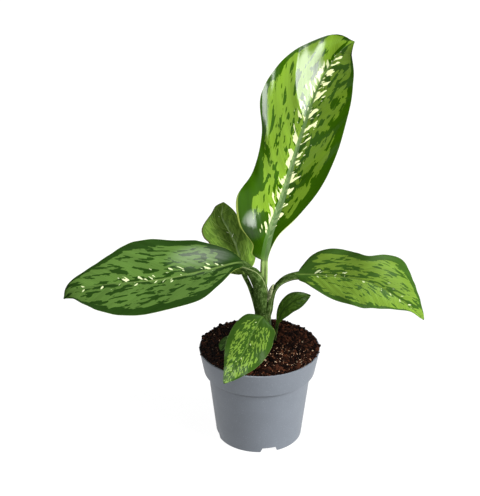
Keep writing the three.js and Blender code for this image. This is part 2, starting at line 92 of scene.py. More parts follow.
LEAVES = {
    "leaf_upright": dict(
        PLAIN_LEAF, piece="tall_leaf", columns=26, stalk_rows=30, blade_rows=110, dish=(-5.4, -1.5),
        ridges=[(141, 1.6, 14, 44)], puffs=[(-17, 27, 15, 3.2)],
        petiole=[(2.5, 2.5, 150.2, 0, -1, 0, 3.4), (3.8, 3.6, 167, 0, -1, 0, 3.7),
            (4, 4, 180, 0, -1, 0, 3.7)],
        midrib=[(4.3, 4, 190.5, 0.1, -1, 0.2, 3.5), (9, 9, 216, 0.1, -1, 0.3, 3.1),
            (20, 19, 245, 0.1, -1, 0.3, 2.6), (38.5, 42, 302, 0, -1, 0.4, 1.9),
            (56, 60, 348.5, -0.1, -1, 0.4, 1.3), (68, 66, 369, -0.1, -1, 0.5, 0.9),
            (79.5, 70, 383, -0.1, -1, 0.6, 0.7), (90, 72, 389, -0.1, -1, 0.7, 0.5)],
        stations=tilted(-20, (0, 9, 3.4), (0.02, 13, 3.8), (0.06, 14, 5.5, -20, -25),
            (0.12, 31, 10, -20, -35), (0.2, 41.5, 19.5, -20, -40), (0.35, 34.5, 33, -30, -25),
            (0.5, 37, 38, -35, -10), (0.65, 49, 37.5, -15, -20), (0.78, 43, 33.5, -10, -25),
            (0.88, 30, 24, -10, -20), (0.95, 17, 12, -10, -10), (1, 1, 1, 0, 0))),
    "leaf_left": dict(
        PLAIN_LEAF, piece="long_left_leaf", columns=28, stalk_rows=34, blade_rows=110, waves=0.4,
        petiole=[(4, 0.4, 116, 0.3, 0.7, 0.2, 6.6), (3.3, 0, 129, 0.3, 0.7, 0.2, 8.1),
            (2.4, 0, 140, 0.3, 0.7, 0.2, 7.5), (1.3, 0, 150.2, 0.3, 0.7, 0.2, 7.2),
            (0.6, -1, 162, 0.4, 0.7, 0.3, 7), (-3, -2, 173, 0.4, 0.8, 0.3, 6.6),
            (-8, -3, 182, 0.4, 0.5, 0.7, 6)],
        midrib=[(-18, -5, 191.5, 0.1, -0.4, 0.9, 4.6), (-49, -17, 190, 0, -0.6, 0.8, 2.8),
            (-94, -36, 189, 0, -0.65, 0.75, 2), (-145, -53, 192, 0, -0.65, 0.75, 1.2),
            (-175, -62, 190, -0.2, -0.6, 0.7, 0.7), (-183, -64, 183, -0.6, -0.5, 0.5, 0.5)],
        stations=tilted(-20, (0, 6, 8.5), (0.06, 8, 22), (0.15, 17, 34, -10, -25),
            (0.3, 30.5, 41.5, 0, -25), (0.45, 32.5, 45, 0, -20), (0.6, 34, 41, -10, -15),
            (0.75, 30.5, 26.5, -15, -15), (0.9, 16, 13), (0.96, 7, 7), (1, 0.8, 0.8, 0, 0))),
    "leaf_right": dict(
        PLAIN_LEAF, piece="right_leaf", columns=26, stalk_rows=36, blade_rows=96,
        petiole=[(5, 0, 118, -0.6, -0.3, 0.4, 3), (8.3, -2.4, 140, -0.6, -0.3, 0.4, 4.6),
            (10.3, -1.8, 151, -0.7, -0.3, 0.5, 3.8), (13.6, -1, 160.2, -0.6, -0.3, 0.6, 2.8),
            (18.2, -1, 167, -0.5, -0.3, 0.7, 2.8), (24.8, -1, 172.4, -0.4, -0.3, 0.8, 3.6)],
        midrib=[(37, -2, 177.6, 0, -0.5, 0.9, 4.2), (77, -19, 183, 0, -0.55, 0.85, 1.9),
            (104, -33, 184, 0, -0.55, 0.85, 1.4), (134, -51, 173, 0.2, -0.55, 0.75, 0.9),
            (153, -61, 159.5, 0.3, -0.5, 0.75, 0.5)],
        stations=tilted(-20, (0, 6, 7), (0.06, 24, 10, -20, -10), (0.15, 34, 16.5, -20, -10),
            (0.3, 34.5, 25, -25, -10), (0.46, 28, 28.5, -5, -15), (0.54, 36, 28.5, -15, -20),
            (0.62, 43, 26.5, -30, -20), (0.75, 32, 16.5, -35, -20), (0.9, 13.5, 3.5), (1, 1, 1, 0, 0))),
    "leaf_behind": dict(
        PLAIN_LEAF, piece="rear_leaf", fold=15,
        petiole=[(1, 2, 118, -0.2, 0.6, 0.3, 2.4), (-2.6, 5.5, 136, 0, -0.2, 0.4, 2.8),
            (-6.2, 8, 149, 0.2, -0.4, 0.4, 2.5), (-10.4, 11, 160, 0.3, -0.6, 0.4, 2.2)],
        midrib=[(-15.6, 14.5, 170.8, 0.4, -0.8, 0.2, 2.5), (-23.5, 24, 194, 0.4, -0.8, 0.3, 1.6),
            (-30.5, 31, 208, 0.4, -0.8, 0.3, 1.2), (-38, 37, 222, 0.4, -0.8, 0.4, 0.8),
            (-35.5, 43, 235, 0.4, -0.8, 0.4, 0.5)],
        stations=tilted(-10, (0, 12, 7), (0.08, 16.5, 13.5), (0.2, 19.5, 18), (0.35, 22, 18.5),
            (0.5, 23.5, 19.5), (0.62, 25, 19.2), (0.7, 26, 19), (0.755, 23.8, 18.8), (0.83, 11.2, 18.4),
            (0.93, 6.8, 12.5), (1, 1, 1, 0, 0))),
    "leaf_front": dict(
        PLAIN_LEAF, piece="front_leaf", waves=0.4, fold=8,
        petiole=[(4, -9.5, 84, 0, -1, 0, 3.2), (4, -9.7, 112, 0, -1, 0, 3.2),
            (4, -10.5, 130.5, 0, -1, 0.2, 2.9)],
        midrib=[(2.8, -14.6, 137.4, 0, -0.6, 0.8, 2.5), (-6.8, -27.6, 128.2, -0.1, -0.7, 0.7, 1.8),
            (-13.5, -41, 117.5, -0.1, -0.8, 0.6, 1.4), (-25, -54.5, 104.5, -0.1, -0.85, 0.5, 0.9),
            (-35, -64, 92, -0.1, -0.9, 0.4, 0.5)],
        stations=tilted(-15, (0, 13, 9), (0.08, 18.5, 15.4), (0.2, 21, 19.3), (0.35, 22.5, 21),
            (0.5, 20.5, 20.5), (0.65, 17, 16.5), (0.8, 11.5, 9.5), (0.93, 5, 4, -10, -10),
            (1, 1, 1, 0, 0))),
    "leaf_low_right": dict(
        PLAIN_LEAF, piece="low_right_leaf", slot="dark_leaf", columns=14, stalk_rows=16, blade_rows=36,
        waves=0.2, fold=10,
        petiole=[(14, 7, 86, -0.3, -0.9, 0.2, 2), (15, 7.5, 102, -0.3, -0.9, 0.2, 1.9),
            (16.5, 8, 111, -0.3, -0.9, 0.2, 1.8)],
        midrib=[(18, 8, 119, -0.3, -0.9, 0.3, 1.6), (23, 9, 132, -0.3, -0.9, 0.3, 1.2),
            (31, 8, 141.5, -0.2, -0.9, 0.4, 0.9), (40, 6, 148, -0.1, -0.9, 0.4, 0.7),
            (50, 4, 152, 0, -0.9, 0.4, 0.5)],
        stations=tilted(-10, (0, 1.5, 1.5), (0.1, 3, 3.5), (0.25, 5.5, 7), (0.45, 8.2, 8.5),
            (0.65, 8.7, 9.3), (0.85, 5, 6.5), (1, 0.8, 0.8, 0, 0))),
    "leaf_low_left": dict(
        PLAIN_LEAF, piece="low_left_leaf", slot="dark_leaf", columns=12, stalk_rows=14, blade_rows=30,
        waves=0.2, fold=10,
        petiole=[(-6.5, -3, 86, 0, -0.4, 0.9, 1.8), (-8, -4, 98, 0.4, -0.4, 0.7, 1.7),
            (-12, -5, 104.5, 0.3, -0.5, 0.8, 1.6)],
        midrib=[(-18, -7, 107.5, 0, -0.6, 0.8, 1.4), (-26, -11, 108.5, 0, -0.6, 0.8, 1),
            (-33, -15, 107, -0.1, -0.6, 0.8, 0.7), (-38.5, -20, 103.2, -0.2, -0.6, 0.8, 0.5)],
        stations=tilted(-10, (0, 2, 2), (0.15, 5, 5.5), (0.35, 7, 7.5), (0.55, 7, 8), (0.75, 4.5, 7),
            (0.9, 2, 4.3), (1, 0.8, 0.8, 0, 0))),
}

MM = 0.001
LINE_SAMPLES = 24
GROOVE_DEPTH = 0.45  # of a petiole's upper side, in radii
GROOVE_POWER = 6
GROOVE_ENDS = (0.8, 1.1)  # it fades out here, in lengths of the petiole
RIB_DROP = 1.85  # how far the midrib stands out under the blade, in radii
ROW_SPREAD = 1.15  # above 1, the rows of a blade stand closer at its base
COLUMN_SPREAD = 1.4  # above 1, the columns of a blade stand closer at its midrib
BASE_ROUNDING = 0.9  # the blade's base corners are rounded over this many of their own widths
LEAST_ROUNDING = 0.5
CREASE_FROM = 0.02  # the margin is a sharp edge from here, in lengths of the blade
TIP_POINT = 0.03  # the share of the blade that draws in to its tip
TIP_WIDTH = 0.15
MIDRIB_CHANNEL = 0.14  # the midrib's sunken upper side, in radii
CHANNEL_WIDTH = 0.8
WAVE_LENGTH = 31.0
LUMP_SIZE = 22.0
LUMP_DEPTH = 0.5
RIGHT_SHIFT = 0.4  # of the right half's swellings and waves, in lengths of their own
DISH_WIDTH = 1.1  # where a dish would be level again, in half widths
DISH_FROM = (0.42, 0.6)  # it sets in and ends here, in lengths of the blade
DISH_UNTIL = (1.03, 0.9)
SHEATH_TWIST = 0.012  # of the old sheaths round the stem, in radians a millimetre
SHEATH_LAP = 0.07  # how far a sheath's edge stands out, in radii
NODE_SPACING = 24.0  # of the rings on the stem
NODE_SHIFT = 7.0
NODE_HEIGHT = 0.25
SHEATH_TIP_THICKNESS = 0.25
SHEATH_TIP_CURL = -0.8


def linear(red, green, blue):
    """A colour given from 0 to 255, as the scene's linear light."""
    return tuple((part / 255) ** 2.2 for part in (red, green, blue))


# ---- Materials ---------------------------------------------------------------------------


class Wire:
    """A value in a material's nodes, used like a number in an expression."""

    def __init__(self, shader, socket):
        self.shader = shader
        self.socket = socket

    def math(self, operation, *others):
        values = dict(enumerate((self, *others)))
        return self.shader.node("ShaderNodeMath", {"operation": operation}, values)

    def __add__(self, other):
        return self.math("ADD", other)

    def __sub__(self, other):
        return self.math("SUBTRACT", other)

    def __mul__(self, other):
        return self.math("MULTIPLY", other)

    def __rsub__(self, other):
        return (self * -1).math("ADD", other)

    def __abs__(self):
        return self.math("ABSOLUTE")

    def __pow__(self, power):
        return self.math("POWER", power)

    __radd__ = __add__
    __rmul__ = __mul__

    def rise(self, low, high):
        """0 below low, 1 above high, and a smooth step between them."""
        settings = {"interpolation_type": "SMOOTHSTEP"}
        return self.shader.node("ShaderNodeMapRange", settings, {0: self, 1: low, 2: high})

    def parts(self):
        """The three numbers of a vector."""
        return [self.shader.node("ShaderNodeSeparateXYZ", {}, {0: self}, output=k) for k in range(3)]


class Shader:
    """A material, and the nodes that are added to it."""

    def __init__(self, name):
        self.material = bpy.data.materials.new(name)
        self.material.use_nodes = True
        self.tree = self.material.node_tree
        self.tree.nodes.clear()

    def node(self, kind, settings, sockets, output=0):
        """Adds a node: its settings first, then the values or links of its sockets."""
        node = self.tree.nodes.new(kind)
        for name, value in settings.items():
            setattr(node, name, value)
        for key, value in sockets.items():
            if isinstance(value, Wire):
                self.tree.links.new(value.socket, node.inputs[key])
            elif node.inputs[key].type == "RGBA":
                node.inputs[key].default_value = (*value, 1)
            else:
                node.inputs[key].default_value = value
        return Wire(self, node.outputs[output])

    def attribute(self, name, output=1):
        """A layer of the mesh as a vector, or as a number with output 2."""
        return self.node("ShaderNodeAttribute", {"attribute_name": name}, {}, output)

    def place(self):
        """Where a point of the surface lies in the plant, in metres."""
        return self.node("ShaderNodeTexCoord", {}, {}, output=3)

    def vector(self, x, y, z):
        return self.node("ShaderNodeCombineXYZ", {}, {0: x, 1: y, 2: z})

    def noise(self, spot, scale=1.0, detail=2.0, roughness=0.5):
        """Noise about 0.5 at a spot, which is a vector or its three parts."""
        vector = spot if isinstance(spot, Wire) else self.vector(*spot)
        sockets = {0: vector, 2: scale, 3: detail, 4: roughness}
        return self.node("ShaderNodeTexNoise", {}, sockets)

    def mix(self, share, first, second):
        """first where share is 0, second where it is 1."""
        return self.node("ShaderNodeMix", {"data_type": "RGBA"}, {0: share, 6: first, 7: second}, 2)

    def layered(self, colour, *layers):
        """The colour with others laid over it in turn, each given as its share and itself."""
        for share, over in layers:
            colour = self.mix(share, colour, over)
        return colour

    def shade(self, colour, lightness):
        """The colour made lighter or darker."""
        scaled = {"operation": "SCALE"}
        return self.node("ShaderNodeVectorMath", scaled, {0: colour, "Scale": lightness})

    def bump(self, height, depth, strength=1.0):
        """The normal of a surface with this relief, depth being the height of 1 in metres."""
        sockets = {"Height": height, "Distance": depth, "Strength": strength}
        return self.node("ShaderNodeBump", {}, sockets)

    def finish(self, **sockets):
        """The material, with its surface. A socket's name is written with _ for each space."""
        named = {name.replace("_", " "): value for name, value in sockets.items()}
        surface = self.node("ShaderNodeBsdfPrincipled", {}, named)
        output = self.tree.nodes.new("ShaderNodeOutputMaterial")
        self.tree.links.new(surface.socket, output.inputs["Surface"])
        return self.material


# Each leaf's look. Pairs are for the left and the right half. dark, pale and cream are the colours
# of the blade, its patches and its flecks. patch is how much of a half is pale, islands how much
# dark lies in that and flecks how much is cream, each from -0.2 to 0.2. The patches set in from the
# first to the second place of start, and strength is how far they go to pale. margin is the share of
# the half width that stays dark, and base_margin what is added to it near the base. tone is
# the lightness of the skin, and base_tone_and_shade what it is multiplied by at the very base: partly
# the leaf's darker base, and partly painted shade where it lies beneath another leaf.
# long and wide are the size of a patch along and across the side veins, in millimetres.
# rib is the midrib's colour, rib_width its half width at the base, and shaded_rib how dark its left
# side is there. side_veins is how clear the pale side veins are. edge is the colour of the thin
# margin, rim what is added to its width, and pale_rim what is added where it is pale, which is
# from the base to pale_until. All three are shares of the half width or of the midrib.
# stalk is the lightness of the petiole, and pale_stalk how far it is bleached.
# coat is how much the upper side shines and spread how rough that shine is. shiny has bands of
# gloss on the left half: from and to a place where side veins start, from a share of the half
# width outwards, and how much. glints are soft spots: x, y, width, length and how much.
PLAIN_LOOK = dict(
    cream=linear(200, 212, 160), patch=(0, 0), islands=(0, 0), start=(0, 0.16), strength=(1, 1),
    base_margin=(0, 0), tone=(1, 1), base_tone_and_shade=(1, 1), shaded_rib=0, side_veins=0, rim=0,
    edge=linear(100, 120, 70), pale_rim=0, pale_until=0.16, stalk=1, pale_stalk=0, spread=0.22,
    shiny=(), glints=())
LOOKS = {
    "leaf_upright": dict(
        PLAIN_LOOK, dark=linear(55, 93, 12), pale=linear(126, 164, 50), cream=linear(222, 230, 172),
        rib=linear(98, 124, 80), patch=(0.15, 0.08), islands=(0, 0.02), flecks=(0.055, 0.08),
        margin=(0.05, 0.12), start=(0.04, 0.24), base_margin=(0.26, 0.14), base_tone_and_shade=(0.8, 0.8),
        tone=(0.9, 0.5), strength=(1, 0.8), long=17, wide=10, rib_width=3.9, stalk=2.6, coat=1,
        seed=3, pale_stalk=0.75, shaded_rib=0.7, pale_rim=0.045, pale_until=0.26,
        shiny=[(141, 192, 0.06, 1), (58, 92, 0.84, 0.8)], glints=[(-16, 32, 15, 16, 0.9)]),
    "leaf_left": dict(
        PLAIN_LOOK, dark=linear(42, 68, 26), pale=linear(88, 120, 56), rib=linear(100, 124, 66),
        patch=(0.14, 0.13), islands=(0.02, 0), flecks=(-0.04, -0.02), margin=(0.16, 0.13),
        tone=(0.69, 0.77), long=15, wide=10, rib_width=0.8, coat=0.6, seed=11,
        glints=[(14, 38, 20, 40, 1)], spread=0.36),
    "leaf_right": dict(
        PLAIN_LOOK, dark=linear(64, 96, 38), pale=linear(116, 149, 56), rib=linear(104, 130, 62),
        patch=(0.14, 0.18), islands=(0.02, 0), flecks=(-0.07, -0.05), margin=(0.18, 0.1),
        tone=(0.88, 0.98), long=13, wide=9, rib_width=0.6, stalk=1.1, coat=0.08, seed=23),
    "leaf_behind": dict(
        PLAIN_LOOK, dark=linear(82, 109, 44), pale=linear(102, 131, 54), cream=linear(200, 212, 170),
        rib=linear(146, 174, 92), side_veins=0.7, edge=linear(66, 54, 40), rim=0.045,
        patch=(0.06, 0.06), islands=(0.02, 0.02), flecks=(-0.1, -0.1), margin=(0.1, 0.1),
        tone=(1.15, 1.3), base_tone_and_shade=(0.3, 0.8), long=9, wide=5, rib_width=0.5, stalk=1.6, coat=0.1,
        seed=31),
    "leaf_front": dict(
        PLAIN_LOOK, dark=linear(54, 82, 30), pale=linear(110, 142, 54), cream=linear(200, 214, 150),
        rib=linear(84, 112, 52), patch=(0.06, 0.06), islands=(0.05, 0.05), flecks=(-0.1, -0.1),
        margin=(0.16, 0.2), long=6.5, wide=3.2, rib_width=0.5, coat=0.12, seed=43),
    "leaf_low_right": dict(
        PLAIN_LOOK, dark=linear(60, 88, 30), pale=linear(78, 110, 40), cream=linear(100, 126, 70),
        rib=linear(66, 90, 42), flecks=(-0.2, -0.2), margin=(0.15, 0.15), tone=(1.6, 1.6), long=6,
        wide=3, rib_width=0.4, stalk=0.8, coat=0.08, seed=57),
    # The low left leaf's tone of 4 is painted light: it brightens a leaf that lies in the front leaf's
    # shadow.
    "leaf_low_left": dict(
        PLAIN_LOOK, dark=linear(42, 58, 30), pale=linear(56, 78, 38), cream=linear(100, 126, 70),
        rib=linear(54, 80, 38), flecks=(-0.2, -0.2), margin=(0.15, 0.15), tone=(4, 4), long=6,
        wide=3, rib_width=0.4, stalk=0.7, coat=0.2, seed=61),
}

VEIN_SLOPE = 0.9  # of the side veins where they leave the midrib
VEIN_CURVE = 0.022  # how they bend towards the tip, per millimetre
VEIN_STRETCH = 1.9  # how much longer a side vein is than its reach from the midrib
VEIN_SPACING = 9.0
STRAND_WIDTH = 1.3  # the patches fray out along strands of this width, in millimetres
FRAY_SIZE = (3.0, 1.5)  # along and across the side veins, as are the next three
FLECK_SIZE = (14.0, 2.6)
CLOUD_SIZE = (60.0, 9.0)
FINE_SIZE = (40.0, 0.5)
FINE_VEINS = 2.4
SIDE_VEIN_SPACING = 17.0
PALER_TIP = 0.1  # how much more of a leaf is pale at its tip than at its base
LEAST_SHINE = 0.02
PAINTED_SHADE_UNDER_GLOSS = 0.32  # painted shade: how much darker a leaf's colour is painted where its wax shines
SECOND_HALF = 37.0  # moves the patches of the right half, so that they don't mirror the left's
PATCH_EDGE = (0.5, 0.512)  # noise below the first is none of it, and above the second all of it
ISLAND_EDGE = (0.58, 0.592)
FLECK_EDGE = (0.575, 0.59)
MARGIN_EDGE = (0.88, 1.04)  # in half widths
RIM_EDGE = (0.985, 0.997)
VEIN_EDGE = (0.482, 0.492)
PALE_RIM = linear(178, 196, 96)
UNDERSIDE = linear(96, 124, 70)
BLEACHED_STALK = linear(136, 160, 94)
STALK_SPECKLE = linear(136, 152, 104)
GROOVE_RIM = linear(140, 152, 104)


def leaf_shine(look, x, y, vein, out, right):
    """How glossy the wax is: all over, or where the look has bands and spots of gloss."""
    shine = out * 0 + (LEAST_SHINE if look["shiny"] or look["glints"] else 1)
    for low, high, least, share in look["shiny"]:
        band = vein.rise(low - 1, low + 1) * (1 - vein.rise(high - 8, high + 2))
        shine += band * out.rise(least - 0.06, least + 0.06) * (1 - right) * share
    for spot_x, spot_y, width, length, share in look["glints"]:
        aside, along = (x - spot_x) * (1 / width), (y - spot_y) * (1 / length)
        shine += (1 - (aside * aside + along * along)).rise(0, 1) * share
    return shine.math("MINIMUM", 1)


def leaf_material(name, look, settings):
    """Patches and flecks that run along the side veins, a pale midrib and a mottled petiole."""
    shader = Shader(name)
    across, place, under = shader.attribute("leaf_zone").parts()
    x, y = shader.attribute("leaf_flat").parts()[:2]
    out = abs(across)
    reach = abs(x)
    right = across.rise(-0.01, 0.01)
    half = right * SECOND_HALF + look["seed"]
    vein = y - reach * VEIN_SLOPE - reach * reach * VEIN_CURVE
    blade = place.rise(-0.05, 0.03)

    def by_half(name):
        left_value, right_value = look[name]
        return right * (right_value - left_value) + left_value

    along_vein = reach * VEIN_STRETCH
    from_vein = vein * (1 / VEIN_STRETCH)
    strand = (from_vein * (1 / STRAND_WIDTH)).math("FLOOR")

    def vein_noise(long, wide, shift, **kinds):
        """Noise of this size along and across the side veins. Each shift gives another one."""
        spot = (along_vein * (1 / long), from_vein * (1 / wide), half + shift)
        return shader.noise(spot, **kinds)

    # The skin: pale patches with dark islands, inside a dark margin, and cream flecks on all.
    strands = shader.noise((along_vein * 0.22, strand * 5.7, half), detail=1)
    fray = vein_noise(*FRAY_SIZE, 3, detail=2) * 0.4 + strands * 0.6 - 0.5
    patches = vein_noise(look["long"], look["wide"], 0, detail=1.5) + fray * 0.4
    patches += (place - 0.45) * PALER_TIP
    margin = by_half("margin") + by_half("base_margin") * (1 - place.rise(0.25, 0.55))
    inner = (1 - (out + margin).rise(*MARGIN_EDGE)) * place.rise(*look["start"])
    pale = (patches + by_half("patch") + (inner - 1) * 0.4).rise(*PATCH_EDGE)
    near_rib = (1 - out.rise(0.1, 0.45)) * place.rise(0.02, 0.12) * (1 - place.rise(0.88, 0.98))
    islands = vein_noise(0.5 * look["long"], 0.8 * look["wide"], 5, detail=1) + fray * 0.35
    pale = pale * (1 - (islands + by_half("islands") + near_rib * 0.05).rise(*ISLAND_EDGE))
    specks = vein_noise(*FLECK_SIZE, 9, detail=1.5) + fray * 0.15
    cream = (specks + by_half("flecks") + (near_rib - 1) * 0.3).rise(*FLECK_EDGE)

    # Its lightness: cloudy, with fine lines along the side veins, darker at the very base (partly
    # painted shade), and painted shade where it is glossy.
    clouds = vein_noise(*CLOUD_SIZE, 13, detail=3, roughness=0.6)
    lines = (vein * (tau / FINE_VEINS)).math("SINE")
    fine = vein_noise(*FINE_SIZE, 17, detail=2)
    tone = by_half("tone") * (0.66 + clouds * 0.6 + lines * 0.06 + (fine - 0.5) * 0.5)
    # painted shade in part: the very base is darkened, most on the rear leaf's left half, which lies
    # beneath the long left leaf
    base_tone_and_shade = by_half("base_tone_and_shade")
    tone *= place.rise(-0.02, 0.2) * (1 - base_tone_and_shade) + base_tone_and_shade
    shine = leaf_shine(look, x, y, vein, out, right)
    # painted shade where the wax shines, deepening the colour under the gloss
    tone *= 1 - shine * look["coat"] * PAINTED_SHADE_UNDER_GLOSS
    colour = shader.layered(
        look["dark"], (pale * by_half("strength"), look["pale"]), (cream * (1 - under), look["cream"]))
    colour = shader.shade(colour, tone + cream * (1 - tone))

    # The midrib, which darkens towards the tip, the side veins, the margin and the underside.
    streaks = shader.noise((x * 1.3, y * 0.09, half), detail=2).rise(0.4, 0.7)
    # painted shade on the left side of the midrib near the base
    shaded_side = (1 - x.rise(-1.5, 1.5)) * (1 - place.rise(0.02, 0.2))
    rib_colour = shader.layered(
        look["rib"], (streaks * 0.45, look["dark"]), (place.rise(0.45, 0.85) * 0.6, look["dark"]),
        (shaded_side * look["shaded_rib"], look["dark"]))
    rib = (1 - (reach - (1 - place) ** 1.2 * look["rib_width"] - 0.3).rise(-0.35, 0.35)) * blade
    pale_veins = (vein * (1 / SIDE_VEIN_SPACING) + 0.3).math("FRACT")
    pale_veins = abs(pale_veins - 0.5).rise(*VEIN_EDGE) * (1 - out.rise(0.5, 0.8))
    pale_rim = 1 - place.rise(look["pale_until"] - 0.1, look["pale_until"])
    rim = (out + pale_rim * look["pale_rim"] + look["rim"]).rise(*RIM_EDGE) * blade
    colour = shader.layered(
        colour, (rib * 0.9, rib_colour), (pale_veins * look["side_veins"], look["rib"]),
        (rim * 0.8, shader.mix(pale_rim, look["edge"], PALE_RIM)),
        (under * blade * 0.45, UNDERSIDE))

    # The petiole: mottled, then speckled, with pale edges to its groove.
    mottle = shader.noise((x * 0.5, y * 0.16, half), detail=4, roughness=0.7)
    speckles = shader.noise((x * 0.9, y * 0.6, half + 4), detail=1).rise(0.66, 0.7)
    stalk = shader.mix(mottle.rise(0.45, 0.65), settings.stalk_colour, settings.stalk_fleck)
    stalk = shader.layered(
        shader.shade(stalk, look["stalk"]), (look["pale_stalk"], BLEACHED_STALK),
        (speckles * 0.5, STALK_SPECKLE), (out.rise(0.93, 0.99) * 0.7, GROOVE_RIM))

    shine *= (fine - 0.5) * 0.7 + 0.9
    grain = shader.noise((x * 1.6, y * 1.6, 0.0), detail=2)
    height = (lines * 0.4 + fine * 0.8) * blade + grain * 0.35
    return shader.finish(
        Base_Color=shader.mix(blade, stalk, colour),
        Roughness=settings.gloss + 0.2 * (1 - look["coat"]) + grain * 0.1 + under * 0.2,
        Coat_Weight=(1 - under) * (1 - rib) * blade * look["coat"] * shine,
        Coat_Roughness=look["spread"],
        Specular_IOR_Level=0.0,
        Normal=shader.bump(height, 0.00006, 0.8),
    )


def pot_material(settings):
    """Recycled plastic: slightly clouded, with fine specks, and painted shade in the angle under the
    collar.
    """
    shader = Shader("recycled_plastic")
    place = shader.place()
    clouds = shader.noise(place, scale=38, detail=3)
    specks = shader.noise(place, scale=900, detail=1)
    height = place.parts()[2] * (1 / MM)
    # painted shade: a dark band on the body just under the collar's overhang, where its shadow falls
    painted_shade = (height.rise(COLLAR_FOOT - 5.5, COLLAR_FOOT - 2)
            * (1 - height.rise(COLLAR_FOOT, COLLAR_FOOT + 0.3)))
    colour = shader.layered(
        settings.colour, (clouds, tuple(0.82 * part for part in settings.colour)),
        (specks.rise(0.66, 0.72) * 0.3, linear(84, 90, 96)),
        ((1 - specks).rise(0.66, 0.72) * 0.25, linear(150, 156, 162)),
        (painted_shade * 0.3, linear(60, 62, 64)))
    grain = shader.noise(place, scale=1400, detail=2)
    return shader.finish(
        Base_Color=colour,
        Roughness=0.42 + clouds * 0.16,
        Specular_IOR_Level=0.35,
        Normal=shader.bump(grain + clouds * 2, 0.00005, 0.6),
    )


def soil_material(name, dark, light, roughness=0.95):
    """Soil or what lies in it: each lump has its own shade, kept in its tint."""
    shader = Shader(name)
    tint = shader.attribute("tint", output=2)
    grain = shader.noise(shader.place(), scale=1800, detail=3)
    colour = shader.mix((tint + grain * 0.5 - 0.25).rise(0.0, 1.0), dark, light)
    return shader.finish(
        Base_Color=colour, Roughness=roughness, Specular_IOR_Level=0.05,
        Normal=shader.bump(grain, 0.0004, 0.8))


# ---- Shapes ------------------------------------------------------------------------------


def smooth(value, low, high):
    """0 below low, 1 above high, and a smooth step between them."""
    share = min(max((value - low) / (high - low), 0), 1)
    return share * share * (3 - 2 * share)


def arc(value):
    """A quarter of a circle: 0 below 0, steep at first, and 1 above 1."""
    return sqrt(1 - (1 - min(max(value, 0), 1)) ** 2)


def slope(before, here, after, gap_before, gap_after):
    """The direction of a smooth curve at a point between two others."""
    return ((here - before) / gap_before - (after - before) / (gap_before + gap_after)
            + (after - here) / gap_after)


class Line:
    """A smooth line through rows, with the facing direction and the radius on it."""

    def __init__(self, rows, blade_row=0):
        places = [Vector(row[:3]) for row in rows]
        places = [2 * places[0] - places[1], *places, 2 * places[-1] - places[-2]]
        self.places = [places[1]]
        self.facings = [Vector(rows[0][3:6])]
        self.radii = [rows[0][6]]
        for k in range(len(rows) - 1):
            a, b, c, d = places[k:k + 4]
            gaps = [sqrt((end - start).length) for start, end in ((a, b), (b, c), (c, d))]
            reach = gaps[1] / 3
            leaving = b + slope(a, b, c, gaps[0], gaps[1]) * reach
            arriving = c - slope(b, c, d, gaps[1], gaps[2]) * reach
            curve = geometry.interpolate_bezier(b, leaving, arriving, c, LINE_SAMPLES + 1)
            for step in range(1, LINE_SAMPLES + 1):
                share = step / LINE_SAMPLES
                self.places.append(curve[step])
                self.facings.append(Vector(rows[k][3:6]).lerp(Vector(rows[k + 1][3:6]), share))
                self.radii.append(rows[k][6] + (rows[k + 1][6] - rows[k][6]) * share)
        self.distances = [0.0]
        for start, end in zip(self.places, self.places[1:]):
            self.distances.append(self.distances[-1] + (end - start).length)
        last = len(self.places) - 1
        self.tangents = [
            (self.places[min(k + 1, last)] - self.places[max(k - 1, 0)]).normalized()
            for k in range(last + 1)]
        self.length = self.distances[-1]
        self.blade_start = self.distances[blade_row * LINE_SAMPLES]

    def at(self, distance):
        """Place, side, normal and radius at a distance from the first row."""
        k = min(max(bisect_right(self.distances, distance) - 1, 0), len(self.places) - 2)
        share = (distance - self.distances[k]) / (self.distances[k + 1] - self.distances[k])
        tangent = self.tangents[k].lerp(self.tangents[k + 1], share).normalized()
        facing = self.facings[k].lerp(self.facings[k + 1], share)
        side = tangent.cross(facing).normalized()
        radius = self.radii[k] + (self.radii[k + 1] - self.radii[k]) * share
        return self.places[k].lerp(self.places[k + 1], share), side, side.cross(tangent), radius


def station(stations, place):
    """Half widths and tilts at a place, on smooth curves through the stations."""
    starts = [row[0] for row in stations]
    k = min(max(bisect_right(starts, place) - 1, 0), len(stations) - 2)
    pairs = [(max(j, 0), max(j, 0) + 1) for j in (k - 1, k, min(k + 1, len(stations) - 2))]
    span = starts[k + 1] - starts[k]
    share = (place - starts[k]) / span
    values = []
    for column in range(1, 5):
        before, here, after = (
            (stations[b][column] - stations[a][column]) / (starts[b] - starts[a])
            for a, b in pairs)
        first, last = stations[k][column], stations[k + 1][column]
        leaving, arriving = span * (before + here) / 2, span * (here + after) / 2
        values.append(
            first * (1 + 2 * share) * (1 - share) ** 2 + leaving * share * (1 - share) ** 2
            + last * (3 - 2 * share) * share ** 2 - arriving * (1 - share) * share ** 2)
    return values


def wrapped(bm, around, along, place_at, **layers):
    """Adds a tube of around by along squares to a bmesh, closed round and at both ends.

    place_at gives a vertex's place from its column and row, and each layer's function a value
    that is kept in that layer.
    """
    kept = {name: bm.verts.layers.float_vector.new(name) for name in layers}
    verts = bmesh.ops.create_grid(bm, x_segments=around, y_segments=along, size=0.5)["verts"]
    for vert in verts:
        column = round((vert.co.x + 0.5) * around) % around
        row = round((vert.co.y + 0.5) * along)
        for name, value_at in layers.items():
            vert[kept[name]] = value_at(column, row)
        vert.co = place_at(column, row)
    bmesh.ops.remove_doubles(bm, verts=verts, dist=1e-7)
    verts = [vert for vert in verts if vert.is_valid]
    ends = [edge for edge in {edge for vert in verts for edge in vert.link_edges} if edge.is_boundary]
    bmesh.ops.holes_fill(bm, edges=ends, sides=0)
    return verts


